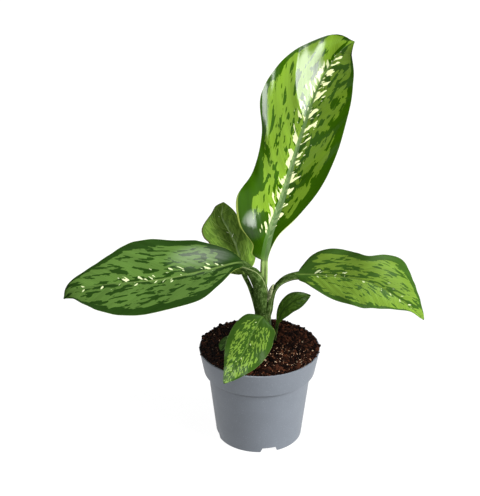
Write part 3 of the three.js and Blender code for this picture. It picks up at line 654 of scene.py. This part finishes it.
class LeafShape:
    """Works out every point of one leaf, from the foot of its petiole to its tip.

    Each cross-section is a ring: over the top from the left margin to the right one, and back
    underneath. It turns from a grooved round stalk into a thin blade with a rib under it.
    """

    def __init__(self, node, settings):
        leaf = LEAVES[node]
        self.leaf = leaf
        self.settings = settings
        self.line = Line([*leaf["petiole"], *leaf["midrib"]], len(leaf["petiole"]))
        self.half = leaf["columns"]
        self.around = 4 * self.half + 2
        start, length = self.line.blade_start, self.line.length
        stalk_rows, blade_rows = leaf["stalk_rows"], leaf["blade_rows"]
        self.rows = [start * k / stalk_rows for k in range(stalk_rows)]
        self.rows += [start + (length - start) * (k / blade_rows) ** ROW_SPREAD
                      for k in range(blade_rows + 1)]
        self.frames = [self.line.at(distance) for distance in self.rows]
        self.stations = [self.widths_at(distance) for distance in self.rows]

    def place_of(self, distance):
        """-1 at the foot of the petiole, 0 at the blade's base and 1 at its tip."""
        start = self.line.blade_start
        if distance < start:
            return distance / start - 1
        return (distance - start) / (self.line.length - start)

    def widths_at(self, distance):
        """Half widths and tilts, with the base and the tip of the blade rounded off."""
        place = self.place_of(distance)
        left, right, left_tilt, right_tilt = station(self.leaf["stations"], max(place, 0))
        radius = self.line.at(distance)[3]
        widths = []
        for width, at_base in zip((left, right), self.leaf["stations"][0][1:3]):
            corner = max(BASE_ROUNDING * (at_base - radius), LEAST_ROUNDING)
            share = arc((distance - self.line.blade_start) / corner)
            width = radius + (width - radius) * share
            widths.append(max(width * arc((1 - place) / TIP_POINT), TIP_WIDTH))
        return (*widths, left_tilt, right_tilt)

    def across(self, column):
        """-1 at the left margin to 1 at the right one, and whether it is underneath."""
        count = 2 * self.half
        under = column > count
        step = (column if not under else 2 * count + 1 - column) / self.half - 1
        return copysign(abs(step) ** COLUMN_SPREAD, step), under

    def flat(self, column, row):
        """Millimetres from the midrib and from the blade's base, as on a leaf laid flat."""
        across = self.across(column)[0]
        width = self.stations[row][0 if across < 0 else 1]
        return Vector((width * across, self.rows[row] - self.line.blade_start, 0))

    def zone(self, column, row):
        """Where a point lies across and along the leaf, and whether it is underneath."""
        across, under = self.across(column)
        return Vector((across, self.place_of(self.rows[row]), float(under)))

    def relief(self, flat, across, place):
        """How far the blade's side veins are sunk, and how its face swells and its margin waves."""
        reach = abs(flat.x)
        vein = flat.y - reach * VEIN_SLOPE - reach * reach * VEIN_CURVE
        out = abs(across)
        spread = smooth(out, 0.02, 0.25) * smooth(out, 1.0, 0.7) * smooth(place, 0, 0.1)
        left = across < 0
        shift = 0 if left else RIGHT_SHIFT
        swell = -abs(cos(pi * (vein / VEIN_SPACING + shift))) ** 6
        dish = self.leaf["dish"][0 if left else 1] * sin(pi * out / DISH_WIDTH)
        dish *= smooth(place, *DISH_FROM) * smooth(place, *DISH_UNTIL)
        for crest, height, before, after in self.leaf["ridges"] if left else ():
            away = (vein - crest) / (after if vein > crest else before)
            dish += height * max(1 - abs(away), 0) ** 1.5 * smooth(out, 0.05, 0.3)
        for x, y, size, height in self.leaf["puffs"]:
            dish += height * exp(-((flat.x - x) ** 2 + (flat.y - y) ** 2) / size ** 2)
        wave = self.leaf["waves"] * out ** 2 * sin(tau * (vein / WAVE_LENGTH + shift))
        lumps = noise.noise(Vector((flat.x, flat.y, self.leaf["fold"])) / LUMP_SIZE)
        ends = smooth(place, 0, 0.2) * smooth(place, 1, 0.9)
        return (self.settings.vein_depth / MM * swell * spread + dish
                + (wave + LUMP_DEPTH * lumps * out) * ends)

    def point(self, column, row):
        """A point's place, in metres: on the round stalk, on the blade, or between the two."""
        across, under = self.across(column)
        place, side, normal, radius = self.frames[row]
        left, right, left_tilt, right_tilt = self.stations[row]
        width, tilt = (left, left_tilt) if across < 0 else (right, right_tilt)
        out = abs(across)
        turn = across * pi / 2
        stalk_x = radius * sin(turn)
        depth = GROOVE_DEPTH * cos(turn) ** GROOVE_POWER
        stalk_z = -radius * cos(turn) if under else radius * cos(turn) * (1 - depth)

        fold = self.leaf["fold"]
        angle = radians(fold + (tilt - fold) * out / 2)
        blade_x = width * across * cos(angle)
        blade_z = width * out * sin(angle)
        blade_z += self.relief(self.flat(column, row), across, self.zone(column, row).y)
        blade_z -= MIDRIB_CHANNEL * radius * exp(-(blade_x / (CHANNEL_WIDTH * radius)) ** 2)
        thick = self.settings.thickness / MM * (1 - 0.5 * out)
        if under:
            rib = max(1 - (width * across / radius) ** 2, 0)
            blade_z -= thick / 2 + RIB_DROP * radius * rib ** 0.6 * (1 - MIDRIB_CHANNEL)
        else:
            blade_z += thick / 2

        share = smooth(self.rows[row] / self.line.blade_start, *GROOVE_ENDS)
        x = stalk_x + (blade_x - stalk_x) * share
        z = stalk_z + (blade_z - stalk_z) * share
        return (place + side * x + normal * z) * MM


def make_leaf(node, settings):
    """One leaf as a single closed piece."""
    shape = LeafShape(node, settings)
    bm = bmesh.new()
    wrapped(bm, shape.around, len(shape.rows) - 1, shape.point,
            leaf_zone=shape.zone, leaf_flat=shape.flat)
    zones = bm.verts.layers.float_vector["leaf_zone"]
    for edge in bm.edges:
        first, last = (vert[zones] for vert in edge.verts)
        at_margin = min(abs(first.x), abs(last.x)) > 0.999
        edge.smooth = not (at_margin and first.z == last.z and first.y > CREASE_FROM)
    material = leaf_material("skin_of_" + shape.leaf["piece"], LOOKS[node], settings)
    return finish_piece(bm, shape.leaf["piece"], material, node)


def make_stem():
    """The cane, wrapped by the edges of old sheaths."""
    line = Line(STEM_ROWS)
    bm = bmesh.new()
    around, along = 96, 90

    def spot(column, row):
        """The turn round the line, the distance on it, and the place within a sheath's lap."""
        turn = tau * column / around - pi / 2
        distance = line.length * row / along
        return turn, distance, ((turn + SHEATH_TWIST * distance) / tau) % 1

    def point(column, row):
        turn, distance, lap = spot(column, row)
        place, side, normal, radius = line.at(distance)
        ring = smooth(abs((distance + NODE_SHIFT) % NODE_SPACING - NODE_SPACING / 2), 2.2, 0)
        wide = radius * (1 - SHEATH_LAP * smooth(lap, 0.0, 0.06) + SHEATH_LAP * lap)
        wide += NODE_HEIGHT * ring
        return (place + side * wide * cos(turn) + normal * wide * sin(turn)) * MM

    wrapped(bm, around, along, point, sheath=spot)
    shader = Shader("sheathed_stem")
    turn, y, lap = shader.attribute("sheath").parts()
    x = turn * STEM_ROWS[2][6]
    streaks = shader.noise((x * 0.7, y * 0.12, 2.0), detail=3, roughness=0.6)
    flecks = shader.noise((x * 1.1, y * 0.35, 8.0), detail=2)
    colour = shader.layered(
        linear(32, 48, 16), (streaks.rise(0.4, 0.68), linear(58, 78, 36)),
        (flecks.rise(0.64, 0.7) * 0.5, linear(110, 130, 84)),
        ((1 - lap).rise(0.95, 1.0) * 0.5, linear(130, 140, 90)))
    material = shader.finish(
        Base_Color=colour, Roughness=0.42 + streaks * 0.1, Specular_IOR_Level=0.25,
        Normal=shader.bump(streaks, 0.0003, 0.6))
    return finish_piece(bm, "sheathed_cane", material, "stem")


def make_sheath_tip():
    """The free, pointed tip of the sheath at the foot of the right leaf's petiole."""
    line = Line(SHEATH_TIP_ROWS)
    bm = bmesh.new()
    around, along = 20, 24

    def point(column, row):
        place, side, normal, radius = line.at(line.length * row / along)
        turn = tau * column / around
        thick = SHEATH_TIP_THICKNESS * sin(turn) + SHEATH_TIP_CURL * cos(turn) ** 2
        return (place + side * radius * cos(turn) + normal * thick) * MM

    wrapped(bm, around, along, point)
    shader = Shader("dry_sheath_tip")
    grain = shader.noise(shader.place(), scale=420, detail=3, roughness=0.6)
    material = shader.finish(
        Base_Color=shader.mix(grain.rise(0.4, 0.62), linear(86, 98, 58), linear(146, 152, 112)),
        Roughness=0.55 + grain * 0.1, Specular_IOR_Level=0.2,
        Normal=shader.bump(grain, 0.0002, 0.6))
    return finish_piece(bm, "sheath_tip", material)


# ---- Pot and soil ------------------------------------------------------------------------

COLLAR_FOOT = 72.0  # height, and the radii there of the collar and of the body under it
COLLAR_RADIUS = 55.4
BODY_RADIUS = 51.4
BASE_RADIUS = 43.0
LIP = 1.3  # height of the rim's rolled edge
LIP_WIDTH = 0.25
LIP_FOOT = 2.4  # below the rim's top
CORNER = 0.9  # rounding of the pot's corners
CORNER_STEPS = 4
SHARP_FROM = radians(32)  # an edge with a larger angle isn't smoothed
FLOOR = 1.5
POT_STEPS = 160

DRAIN_COUNT = 4
DRAIN_TURN = radians(-77.3)  # from +X to the first channel
DRAIN_FROM = 16.0  # the channels run from here out through the wall
DRAIN_UNTIL = BASE_RADIUS + 7
DRAIN_MOUTH = 18.0
DRAIN_TOP = 13.4
DRAIN_HEIGHT = 5.0
DRAIN_HOLE = 3.5
DRAIN_HOLE_AT = 33.0
DRAIN_HOLE_LENGTH = 6.0

SOIL_EDGE = 96.0  # the surface where it meets the wall
SOIL_CROWN = 2.4
SOIL_REACH = 60.0  # where the crown ends
CLOD_SIZE = 9.0  # of the soil's larger and finer unevenness
CLOD_HEIGHT = 1.1
GRAIN_SIZE = 2.2
GRAIN_HEIGHT = 0.7
SOIL_FOOT = 7.0
SOIL_RINGS = 44
SOIL_STEPS = 150
POT_TOP = 97.0
INSIDE_RIM = 1.6  # from the rim's outside to the soil
INSIDE_WALL = 2.0  # and from the wall's outside, further down
CRUMBS_WITHIN = 57.6  # the radii within which loose things lie
FIBRES_WITHIN = 56.5
GRAINS_WITHIN = 56.0
GRAIN_HEAP = (26, -22)  # the middle of the spot with most grains
HEAP_SHARE = 0.55  # of the grains
HEAP_SIZE = 0.45  # of the whole soil's width
RIM_CRUMBS_AT = 57.4
RIM_CRUMB_TURNS = (-30, 210)  # degrees from +X: all but the front
RIM_HEIGHT = 96.4
CLOD_CRUMBS = 9
BATCH = 60


def rounded(corners):
    """A profile whose corners of radius, height and rounding are drawn as short curves."""
    profile = []
    for k, (radius, height, rounding) in enumerate(corners):
        corner = Vector((radius, height))
        if rounding == 0:
            profile.append(corner)
            continue
        before, after = ((Vector(corners[k + way][:2]) - corner).normalized() * rounding
                         for way in (-1, 1))
        for step in range(CORNER_STEPS + 1):
            share = step / CORNER_STEPS
            profile.append(corner + before * (1 - share) ** 2 + after * share ** 2)
    return profile


def spun(profile, steps):
    """A bmesh of a profile of radius and height pairs, from axis to axis, spun about Z."""
    bm = bmesh.new()
    verts = [bm.verts.new((radius * MM, 0, height * MM)) for radius, height in profile]
    edges = [bm.edges.new(pair) for pair in zip(verts, verts[1:])]
    bmesh.ops.spin(bm, geom=verts + edges, cent=(0, 0, 0), axis=(0, 0, 1), dvec=(0, 0, 0),
                   angle=tau, steps=steps, use_merge=True)
    bmesh.ops.remove_doubles(bm, verts=bm.verts, dist=1e-6)
    bmesh.ops.recalc_face_normals(bm, faces=bm.faces)
    return bm


def object_of(bm, name):
    """A bmesh, which is used up, as an object in the scene."""
    mesh = bpy.data.meshes.new(name)
    bm.to_mesh(mesh)
    bm.free()
    made = bpy.data.objects.new(name, mesh)
    bpy.context.scene.collection.objects.link(made)
    return made


def cut(first, second):
    """The first bmesh cut by the second. Both are used up."""
    body, tool = object_of(first, "body"), object_of(second, "tool")
    modifier = body.modifiers.new("cut", "BOOLEAN")
    modifier.operation = "DIFFERENCE"
    modifier.object = tool
    modifier.solver = "EXACT"
    result = bmesh.new()
    result.from_object(body, bpy.context.evaluated_depsgraph_get())
    for used in (body, tool):
        mesh = used.data
        bpy.data.objects.remove(used)
        bpy.data.meshes.remove(mesh)
    return result


def drain_turn(k):
    """Turns something on the X axis to the place of one drain."""
    return Matrix.Rotation(DRAIN_TURN + tau * k / DRAIN_COUNT, 4, "Z")


def drain_prisms(grow):
    """The channels under the pot's floor, each a little larger on every side by grow."""
    bm = bmesh.new()
    for k in range(DRAIN_COUNT):
        for vert in bmesh.ops.create_cube(bm, size=1)["verts"]:
            out = (DRAIN_FROM - grow) if vert.co.x < 0 else DRAIN_UNTIL
            wide = (DRAIN_MOUTH if vert.co.z < 0 else DRAIN_TOP) / 2 + grow
            high = -1 if vert.co.z < 0 else DRAIN_HEIGHT + grow
            vert.co = drain_turn(k) @ Vector((out, copysign(wide, vert.co.y), high)) * MM
    return bm


def drain_holes():
    """Round rods through the tops of the channels."""
    bm = bmesh.new()
    radius = DRAIN_HOLE * MM
    for k in range(DRAIN_COUNT):
        middle = Matrix.Translation(Vector((DRAIN_HOLE_AT, 0, DRAIN_HEIGHT)) * MM)
        bmesh.ops.create_cone(
            bm, cap_ends=True, segments=32, radius1=radius, radius2=radius,
            depth=DRAIN_HOLE_LENGTH * MM, matrix=drain_turn(k) @ middle)
    return bm


def make_pot(settings):
    """The moulded pot: a tapered body, a flared collar with a rolled lip, and a ribbed floor."""
    rim, top = settings.rim_radius / MM, settings.height / MM
    wall = settings.wall / MM
    outside = spun(rounded([
        (0, 0, 0), (BASE_RADIUS, 0, CORNER), (BODY_RADIUS, COLLAR_FOOT, 0.5),
        (COLLAR_RADIUS, COLLAR_FOOT, CORNER), (rim - LIP_WIDTH, top - LIP_FOOT, 0.6),
        (rim, top - LIP, 0.4), (rim, top, 0.5), (0, top, 0)]), POT_STEPS)
    flare = (rim - COLLAR_RADIUS) / (top - COLLAR_FOOT)
    hollow = spun(rounded([
        (0, FLOOR, 0), (BASE_RADIUS - wall, FLOOR, CORNER),
        (BODY_RADIUS - wall, COLLAR_FOOT + wall, 0.6),
        (COLLAR_RADIUS - wall, COLLAR_FOOT + wall, 0.6),
        (rim - wall - flare * wall, top, 0), (rim - wall, top + 2, 0), (0, top + 2, 0)]), POT_STEPS)
    bm = cut(outside, cut(hollow, drain_prisms(FLOOR)))
    bm = cut(cut(bm, drain_prisms(0)), drain_holes())
    for edge in bm.edges:
        edge.smooth = edge.calc_face_angle(0) < SHARP_FROM
    return finish_piece(bm, "nursery_pot", pot_material(settings), "pot")


def soil_height(x, y):
    """The surface under the loose crumbs, in millimetres."""
    rise = SOIL_CROWN * (1 - (x * x + y * y) / SOIL_REACH ** 2)
    clods = noise.fractal(Vector((x, y, 0)) / CLOD_SIZE, 1.0, 2.0, 3) * CLOD_HEIGHT
    return SOIL_EDGE + rise + clods


def make_soil(settings):
    """The soil that fills the pot, with a lumpy top."""
    rim = settings_of("pot").rim_radius / MM
    inner = rim - INSIDE_RIM
    flare = (rim - COLLAR_RADIUS) / (POT_TOP - COLLAR_FOOT)
    top = [(inner * (1 - k / SOIL_RINGS), SOIL_EDGE) for k in range(SOIL_RINGS)]
    bm = spun([
        (0, SOIL_FOOT), (BASE_RADIUS - INSIDE_WALL, SOIL_FOOT),
        (BODY_RADIUS - INSIDE_WALL, COLLAR_FOOT), (COLLAR_RADIUS - INSIDE_WALL, COLLAR_FOOT + 2),
        (inner - flare * 2, SOIL_EDGE - 2), *top, (0, SOIL_EDGE)], SOIL_STEPS)
    tint = bm.verts.layers.float.new("tint")
    for vert in bm.verts:
        x, y, z = vert.co / MM
        vert[tint] = 0.25 + 0.2 * noise.noise(Vector((x, y, z)) / 3)
        if z > SOIL_EDGE - 0.1:
            fine = noise.fractal(Vector((x, y, 5)) / GRAIN_SIZE, 1.0, 2.0, 3) * GRAIN_HEIGHT
            vert.co.z = (soil_height(x, y) - 0.5 + fine) * MM
    material = soil_material("potting_mix", settings.dark, settings.brown)
    return finish_piece(bm, "potting_mix", material, "soil")


def scattered(draw, reach):
    """A random spot on the soil, in millimetres from its middle."""
    turn = draw.uniform(0, tau)
    away = reach * sqrt(draw.random())
    return away * cos(turn), away * sin(turn)


def add_lump(bm, draw, place, size, flatness, tint, shade):
    """An uneven lump at a place, in millimetres."""
    turn = Matrix.Rotation(draw.uniform(0, tau), 4, draw_axis(draw))
    scale = Matrix.Diagonal((size * draw.uniform(0.7, 1.3), size, size * flatness, 1))
    matrix = Matrix.Translation(Vector(place) * MM) @ turn @ scale
    made = bmesh.ops.create_icosphere(bm, subdivisions=1, radius=MM, matrix=matrix)
    for vert in made["verts"]:
        vert.co += Vector([draw.uniform(-0.22, 0.22) * size * MM for axis in range(3)])
        vert[tint] = shade


def drawn_size(draw, least, rate, most):
    """A random size: the higher the rate, the fewer are large."""
    return min(least + draw.expovariate(rate), most)


def draw_axis(draw):
    """A random direction."""
    return Vector([draw.gauss(0, 1) for axis in range(3)]).normalized()


def heaped(count, add):
    """A bmesh of many small things, each added by add to a bmesh, with its tint layer.

    They are made a batch at a time, because bmesh operators slow down as a mesh grows.
    """
    whole = bmesh.new()
    for start in range(0, count, BATCH):
        batch = bmesh.new()
        tint = batch.verts.layers.float.new("tint")
        for k in range(start, min(start + BATCH, count)):
            add(batch, tint, k)
        mesh = bpy.data.meshes.new("batch")
        batch.to_mesh(mesh)
        batch.free()
        whole.from_mesh(mesh)
        bpy.data.meshes.remove(mesh)
    return whole


def make_crumbs(settings):
    """Loose crumbs all over the soil, some of them on the back of the rim, and a few clods."""
    draw = random.Random(settings.seed)
    on_rim = settings.crumb_count + settings.rim_crumb_count

    def add(bm, tint, k):
        if k < settings.crumb_count:
            x, y = scattered(draw, CRUMBS_WITHIN)
            size = drawn_size(draw, 0.45, 1.6, 2.6)
            place = (x, y, soil_height(x, y) + 0.25 * size - 0.2)
        elif k < on_rim:
            turn = radians(draw.uniform(*RIM_CRUMB_TURNS))
            away = draw.gauss(RIM_CRUMBS_AT, 1.0)
            size = drawn_size(draw, 0.5, 1.8, 2.4)
            place = (away * cos(turn), away * sin(turn), RIM_HEIGHT + 0.5 * size)
        else:
            *middle, reach = CLODS[(k - on_rim) // CLOD_CRUMBS]
            place = Vector(middle) + draw_axis(draw) * reach * 0.7
            size = reach * draw.uniform(0.4, 0.7)
        add_lump(bm, draw, place, size, draw.uniform(0.5, 1), tint, draw.random() ** 2)

    bm = heaped(on_rim + CLOD_CRUMBS * len(CLODS), add)
    material = soil_material("crumbs_of_soil", settings.dark, settings.brown)
    return finish_piece(bm, "crumbs", material, smooth_faces=False)


def make_fibres(settings):
    """Fine bent fibres and bark slivers of reddish brown."""
    draw = random.Random(settings.seed + 1)
    sides, steps = 4, 5

    def add(bm, tint, k):
        x, y = scattered(draw, FIBRES_WITHIN)
        start = Vector((x, y, soil_height(x, y) + 0.5))
        heading = Vector((draw.gauss(0, 1), draw.gauss(0, 1), draw.gauss(0, 0.22))).normalized()
        bend = draw_axis(draw) * draw.uniform(0.1, 0.9)
        length, thick = draw.uniform(1.5, 7), draw.uniform(0.1, 0.32)
        aside = heading.orthogonal().normalized()
        upward = heading.cross(aside)

        def point(column, row):
            share = row / steps - 0.5
            middle = start + heading * share * length + bend * (share * share * length)
            turn = tau * column / sides
            wide = thick * (1 - 1.6 * share * share)
            return (middle + (aside * cos(turn) + upward * sin(turn)) * wide) * MM

        shade = draw.random()
        for vert in wrapped(bm, sides, steps, point):
            vert[tint] = shade

    bm = heaped(settings.fibre_count, add)
    material = soil_material("fibres_of_bark", linear(58, 32, 22), linear(128, 78, 52), 0.85)
    return finish_piece(bm, "fibres", material)


def make_grains(settings):
    """Pale grains of bark and grit, most of them at the front right."""
    draw = random.Random(settings.seed + 2)

    def add(bm, tint, k):
        x, y = scattered(draw, GRAINS_WITHIN)
        if draw.random() < HEAP_SHARE:
            x, y = x * HEAP_SIZE + GRAIN_HEAP[0], y * HEAP_SIZE + GRAIN_HEAP[1]
        size = drawn_size(draw, 0.3, 3, 1.1)
        place = (x, y, soil_height(x, y) + 0.7)
        add_lump(bm, draw, place, size, draw.uniform(0.4, 1), tint, draw.random())

    bm = heaped(settings.grain_count, add)
    material = soil_material("pale_grit", linear(132, 92, 66), linear(206, 176, 146), 0.7)
    return finish_piece(bm, "pale_grains", material, smooth_faces=False)


# ---- Pieces and the stage ----------------------------------------------------------------


def finish_piece(bm, name, material, node=None, smooth_faces=True):
    """Makes a bmesh a piece that rides on the plant's one body, and hides the model's part that it
    stands for.
    """
    for face in bm.faces:
        face.smooth = smooth_faces
    piece = object_of(bm, name)
    piece.data.materials.append(material)
    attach(piece, "root")
    if node:
        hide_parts(node)
    return piece


def towards(azimuth, elevation):
    """A direction: azimuth 0 is the viewer's side and 90 the right, elevation is upwards."""
    turn, rise = radians(azimuth), radians(elevation)
    return Vector((sin(turn) * cos(rise), -cos(turn) * cos(rise), sin(rise)))


def add_lamp(name, kind, energy, direction, on, shape, lit, mirrored):
    """Adds a light that shines on a spot, in metres, from an azimuth and elevation."""
    light = bpy.data.lights.new(name, kind)
    light.energy = energy
    for part, value in shape.items():
        setattr(light, part, value)
    lamp = bpy.data.objects.new(name, light)
    lamp.visible_camera = False
    lamp.visible_diffuse = lit
    lamp.visible_glossy = mirrored
    away = towards(*direction) * LAMP_DISTANCE
    lamp.location = Vector(on) + away
    lamp.rotation_euler = (-away).to_track_quat("-Z", "Y").to_euler()
    bpy.context.scene.collection.objects.link(lamp)


def make_glowing(bm, name, colour, roughness, glow):
    """A part of the stage that gives off white light of its own."""
    made = object_of(bm, name)
    made.data.materials.append(Shader("glowing_" + name).finish(
        Base_Color=tuple(colour), Roughness=roughness, Specular_IOR_Level=0.0,
        Emission_Color=(1, 1, 1), Emission_Strength=glow))
    return made


def make_backdrop(radius):
    """A plain white wall all round the floor that the camera alone sees, for low views."""
    bm = bmesh.new()
    bmesh.ops.create_cone(
        bm, cap_ends=False, segments=BACKDROP_SIDES, radius1=radius, radius2=radius,
        depth=BACKDROP_HEIGHT, matrix=Matrix.Translation((0, 0, BACKDROP_HEIGHT / 2)))
    wall = make_glowing(bm, "backdrop", (0, 0, 0), 1.0, 1.0)
    for way in ("diffuse", "glossy", "transmission", "shadow"):
        setattr(wall, "visible_" + way, False)


def make_stage(settings):
    """A pale floor, a white surrounding, soft lights and the camera."""
    scene = bpy.context.scene
    bm = bmesh.new()
    bmesh.ops.create_grid(bm, x_segments=2, y_segments=2, size=settings.floor_size / 2)
    make_glowing(bm, "floor", settings.floor_colour, 0.8, settings.floor_glow)
    make_backdrop(settings.floor_size / 2)

    world = bpy.data.worlds.new("white_surrounding")
    world.use_nodes = True
    background = world.node_tree.nodes["Background"]
    background.inputs["Color"].default_value = (1, 1, 1, 1)
    background.inputs["Strength"].default_value = settings.surrounding
    scene.world = world
    scene.view_settings.view_transform = "Standard"

    for name, kind, *lamp in LAMPS:
        add_lamp(name, kind, getattr(settings, name), *lamp)

    camera = bpy.data.objects.new("camera", bpy.data.cameras.new("camera"))
    camera.data.lens = settings.lens
    camera.data.sensor_width = SENSOR
    camera.location = (CAMERA_SIDE, -settings.camera_distance, settings.camera_height)
    camera.rotation_euler = (settings.camera_tilt, 0, 0)
    scene.collection.objects.link(camera)
    scene.camera = camera


BACKDROP_SIDES = 96
BACKDROP_HEIGHT = 5.0
LAMP_DISTANCE = 1.5
AIM = (0, 0, 0.2)  # the spot that most lights shine on
# The lights: name, which is also that of the setting for its strength, kind, azimuth and elevation,
# the spot it shines on, its shape, whether it lights things and whether they mirror it.
LAMPS = (
    ("key", "SUN", (63, 30), AIM, {"angle": radians(30)}, True, False),
    ("fill", "SUN", (-30, 58), AIM, {"angle": radians(40)}, True, False),
    ("above", "AREA", (128, 68), AIM, {"size": 0.35}, True, True),
    ("gloss", "AREA", (-16, 24), (0.043, 0.058, 0.358),
     {"shape": "RECTANGLE", "size": 1.3, "size_y": 1.1}, False, True),
    ("sheen", "AREA", (130, 69), (-0.06, -0.015, 0.19), {"size": 1.1}, False, True),
)
SENSOR = 36.0
CAMERA_SIDE = -0.0194


# ---- Settings ----------------------------------------------------------------------------

POT_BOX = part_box("pot")


# The kinds of setting: a length in metres, a colour, a count and any other number.
def a_length(name, description, default, **limits):
    return FloatProperty(
        name=name, description=description, default=default, unit="LENGTH", **limits)


def a_colour(name, description, default):
    return FloatVectorProperty(
        name=name, description=description, default=default, min=0, max=1, subtype="COLOR")


def a_count(name, description, default, **limits):
    return IntProperty(name=name, description=description, default=default, min=0, **limits)


def a_number(name, description, default, least=0, **kinds):
    return FloatProperty(name=name, description=description, default=default, min=least, **kinds)


class PotSettings(bpy.types.PropertyGroup):
    """Sizes and colour of the nursery pot."""

    rim_radius: a_length(
        "Rim radius", "Outer radius of the pot's rim", POT_BOX[1].x, min=0.03, max=0.2)
    height: a_length("Height", "Height of the pot", POT_BOX[1].z, min=0.085, max=0.3)
    wall: a_length("Wall", "Thickness of the pot's wall", 0.001, min=0.0005, max=0.003)
    colour: a_colour("Colour", "Colour of the plastic", linear(107, 113, 121))


class SoilSettings(bpy.types.PropertyGroup):
    """Colours of the soil, and how much lies loose on it."""

    dark: a_colour("Dark", "Colour of the dark crumbs", linear(20, 11, 7))
    brown: a_colour("Brown", "Colour of the brown crumbs", linear(68, 41, 29))
    crumb_count: a_count("Crumbs", "Loose crumbs on the soil", 3600, max=8000)
    rim_crumb_count: a_count(
        "Rim crumbs", "Crumbs heaped along the back of the rim", 300, max=2000)
    fibre_count: a_count("Fibres", "Fibres in the soil", 650, max=3000)
    grain_count: a_count("Grains", "Pale grains on the soil", 260, max=2000)
    seed: a_count("Seed", "Changes where the crumbs lie", 5)


class LeafSettings(bpy.types.PropertyGroup):
    """Surface of the leaves and of their stalks."""

    thickness: a_length(
        "Thickness", "Thickness of a blade near its midrib", 0.0007, min=0.0003, max=0.002)
    vein_depth: a_length(
        "Vein depth", "How deep the side veins are sunk", 0.00022, min=0, max=0.002)
    gloss: a_number(
        "Roughness", "Roughness of the leaf's upper side", 0.3, max=1, subtype="FACTOR")
    stalk_colour: a_colour("Stalk", "Colour of the petioles", linear(47, 65, 29))
    stalk_fleck: a_colour("Stalk flecks", "Colour of the flecks on the petioles", linear(84, 106, 58))


class StageSettings(bpy.types.PropertyGroup):
    """Floor, lights and camera."""

    floor_size: a_length("Floor", "Length of the floor's sides", 9.0, min=1)
    floor_colour: a_colour("Floor colour", "Colour of the floor", (0.1, 0.1, 0.1))
    floor_glow: a_number(
        "Floor glow", "Light that the floor gives off, so that shadows stay pale", 0.97)
    surrounding: a_number("Surrounding", "Strength of the light from all round", 0.11)
    key: a_number("Key light", "Strength of the soft light from the right", 5.7)
    fill: a_number("Fill light", "Strength of the soft light from above the viewer", 0.5)
    above: a_number("Top light", "Power of the softbox above and behind", 3, unit="POWER")
    gloss: a_number(
        "Gloss light", "Power of the softbox that the leaves mirror", 78, unit="POWER")
    sheen: a_number(
        "Sheen light", "Power of the softbox above that the long leaf mirrors", 30, unit="POWER")
    lens: a_number("Focal length", "Focal length in millimetres", 97.96, least=10)
    camera_distance: a_length("Distance", "How far the camera stands in front", 1.1792, min=0.2)
    camera_height: a_length("Height", "Height of the camera", 0.7525, min=0)
    camera_tilt: FloatProperty(
        name="Tilt", description="Tilt of the camera up from straight down",
        default=radians(65.1), unit="ROTATION", subtype="ANGLE")


GROUPS = {"pot": PotSettings, "soil": SoilSettings, "leaves": LeafSettings, "stage": StageSettings}


def settings_of(group):
    return getattr(bpy.context.scene, "dieffenbachia_" + group)


# ---- Operators ---------------------------------------------------------------------------


class DIEFFENBACHIA_OT_pot(bpy.types.Operator):
    """Make the nursery pot"""

    bl_idname = "dieffenbachia.pot"
    bl_label = "Pot"

    def execute(self, context):
        make_pot(settings_of("pot"))
        return {"FINISHED"}


class DIEFFENBACHIA_OT_soil(bpy.types.Operator):
    """Make the soil, with its crumbs, fibres and grains"""

    bl_idname = "dieffenbachia.soil"
    bl_label = "Soil"

    def execute(self, context):
        settings = settings_of("soil")
        make_soil(settings)
        make_crumbs(settings)
        make_fibres(settings)
        make_grains(settings)
        return {"FINISHED"}


class DIEFFENBACHIA_OT_stem(bpy.types.Operator):
    """Make the sheathed stem"""

    bl_idname = "dieffenbachia.stem"
    bl_label = "Stem"

    def execute(self, context):
        make_stem()
        make_sheath_tip()
        return {"FINISHED"}


class DIEFFENBACHIA_OT_leaves(bpy.types.Operator):
    """Make every leaf with its petiole"""

    bl_idname = "dieffenbachia.leaves"
    bl_label = "Leaves"

    def execute(self, context):
        for node in LEAVES:
            make_leaf(node, settings_of("leaves"))
        return {"FINISHED"}


class DIEFFENBACHIA_OT_stage(bpy.types.Operator):
    """Make the floor, the lights and the camera"""

    bl_idname = "dieffenbachia.stage"
    bl_label = "Stage"

    def execute(self, context):
        make_stage(settings_of("stage"))
        return {"FINISHED"}


OPERATORS = (
    DIEFFENBACHIA_OT_pot, DIEFFENBACHIA_OT_soil, DIEFFENBACHIA_OT_stem, DIEFFENBACHIA_OT_leaves,
    DIEFFENBACHIA_OT_stage)


class DIEFFENBACHIA_PT_panel(bpy.types.Panel):
    """Lists the settings and the operators of each group"""

    bl_label = "Potted Dieffenbachia"
    bl_idname = "DIEFFENBACHIA_PT_panel"
    bl_space_type = "VIEW_3D"
    bl_region_type = "UI"
    bl_category = "Plant"

    def draw(self, context):
        for operator in OPERATORS:
            self.layout.operator(operator.bl_idname)
        for group, kind in GROUPS.items():
            box = self.layout.box()
            for name in kind.__annotations__:
                box.prop(settings_of(group), name)


def register():
    for kind in (*GROUPS.values(), *OPERATORS, DIEFFENBACHIA_PT_panel):
        bpy.utils.register_class(kind)
    for group, kind in GROUPS.items():
        setattr(bpy.types.Scene, "dieffenbachia_" + group, PointerProperty(type=kind))


def unregister():
    for group in GROUPS:
        delattr(bpy.types.Scene, "dieffenbachia_" + group)
    for kind in (DIEFFENBACHIA_PT_panel, *OPERATORS, *GROUPS.values()):
        bpy.utils.unregister_class(kind)


def main():
    register()
    bpy.ops.dieffenbachia.stage()
    bpy.ops.dieffenbachia.pot()
    bpy.ops.dieffenbachia.soil()
    bpy.ops.dieffenbachia.stem()
    bpy.ops.dieffenbachia.leaves()


if __name__ == "__main__":
    main()
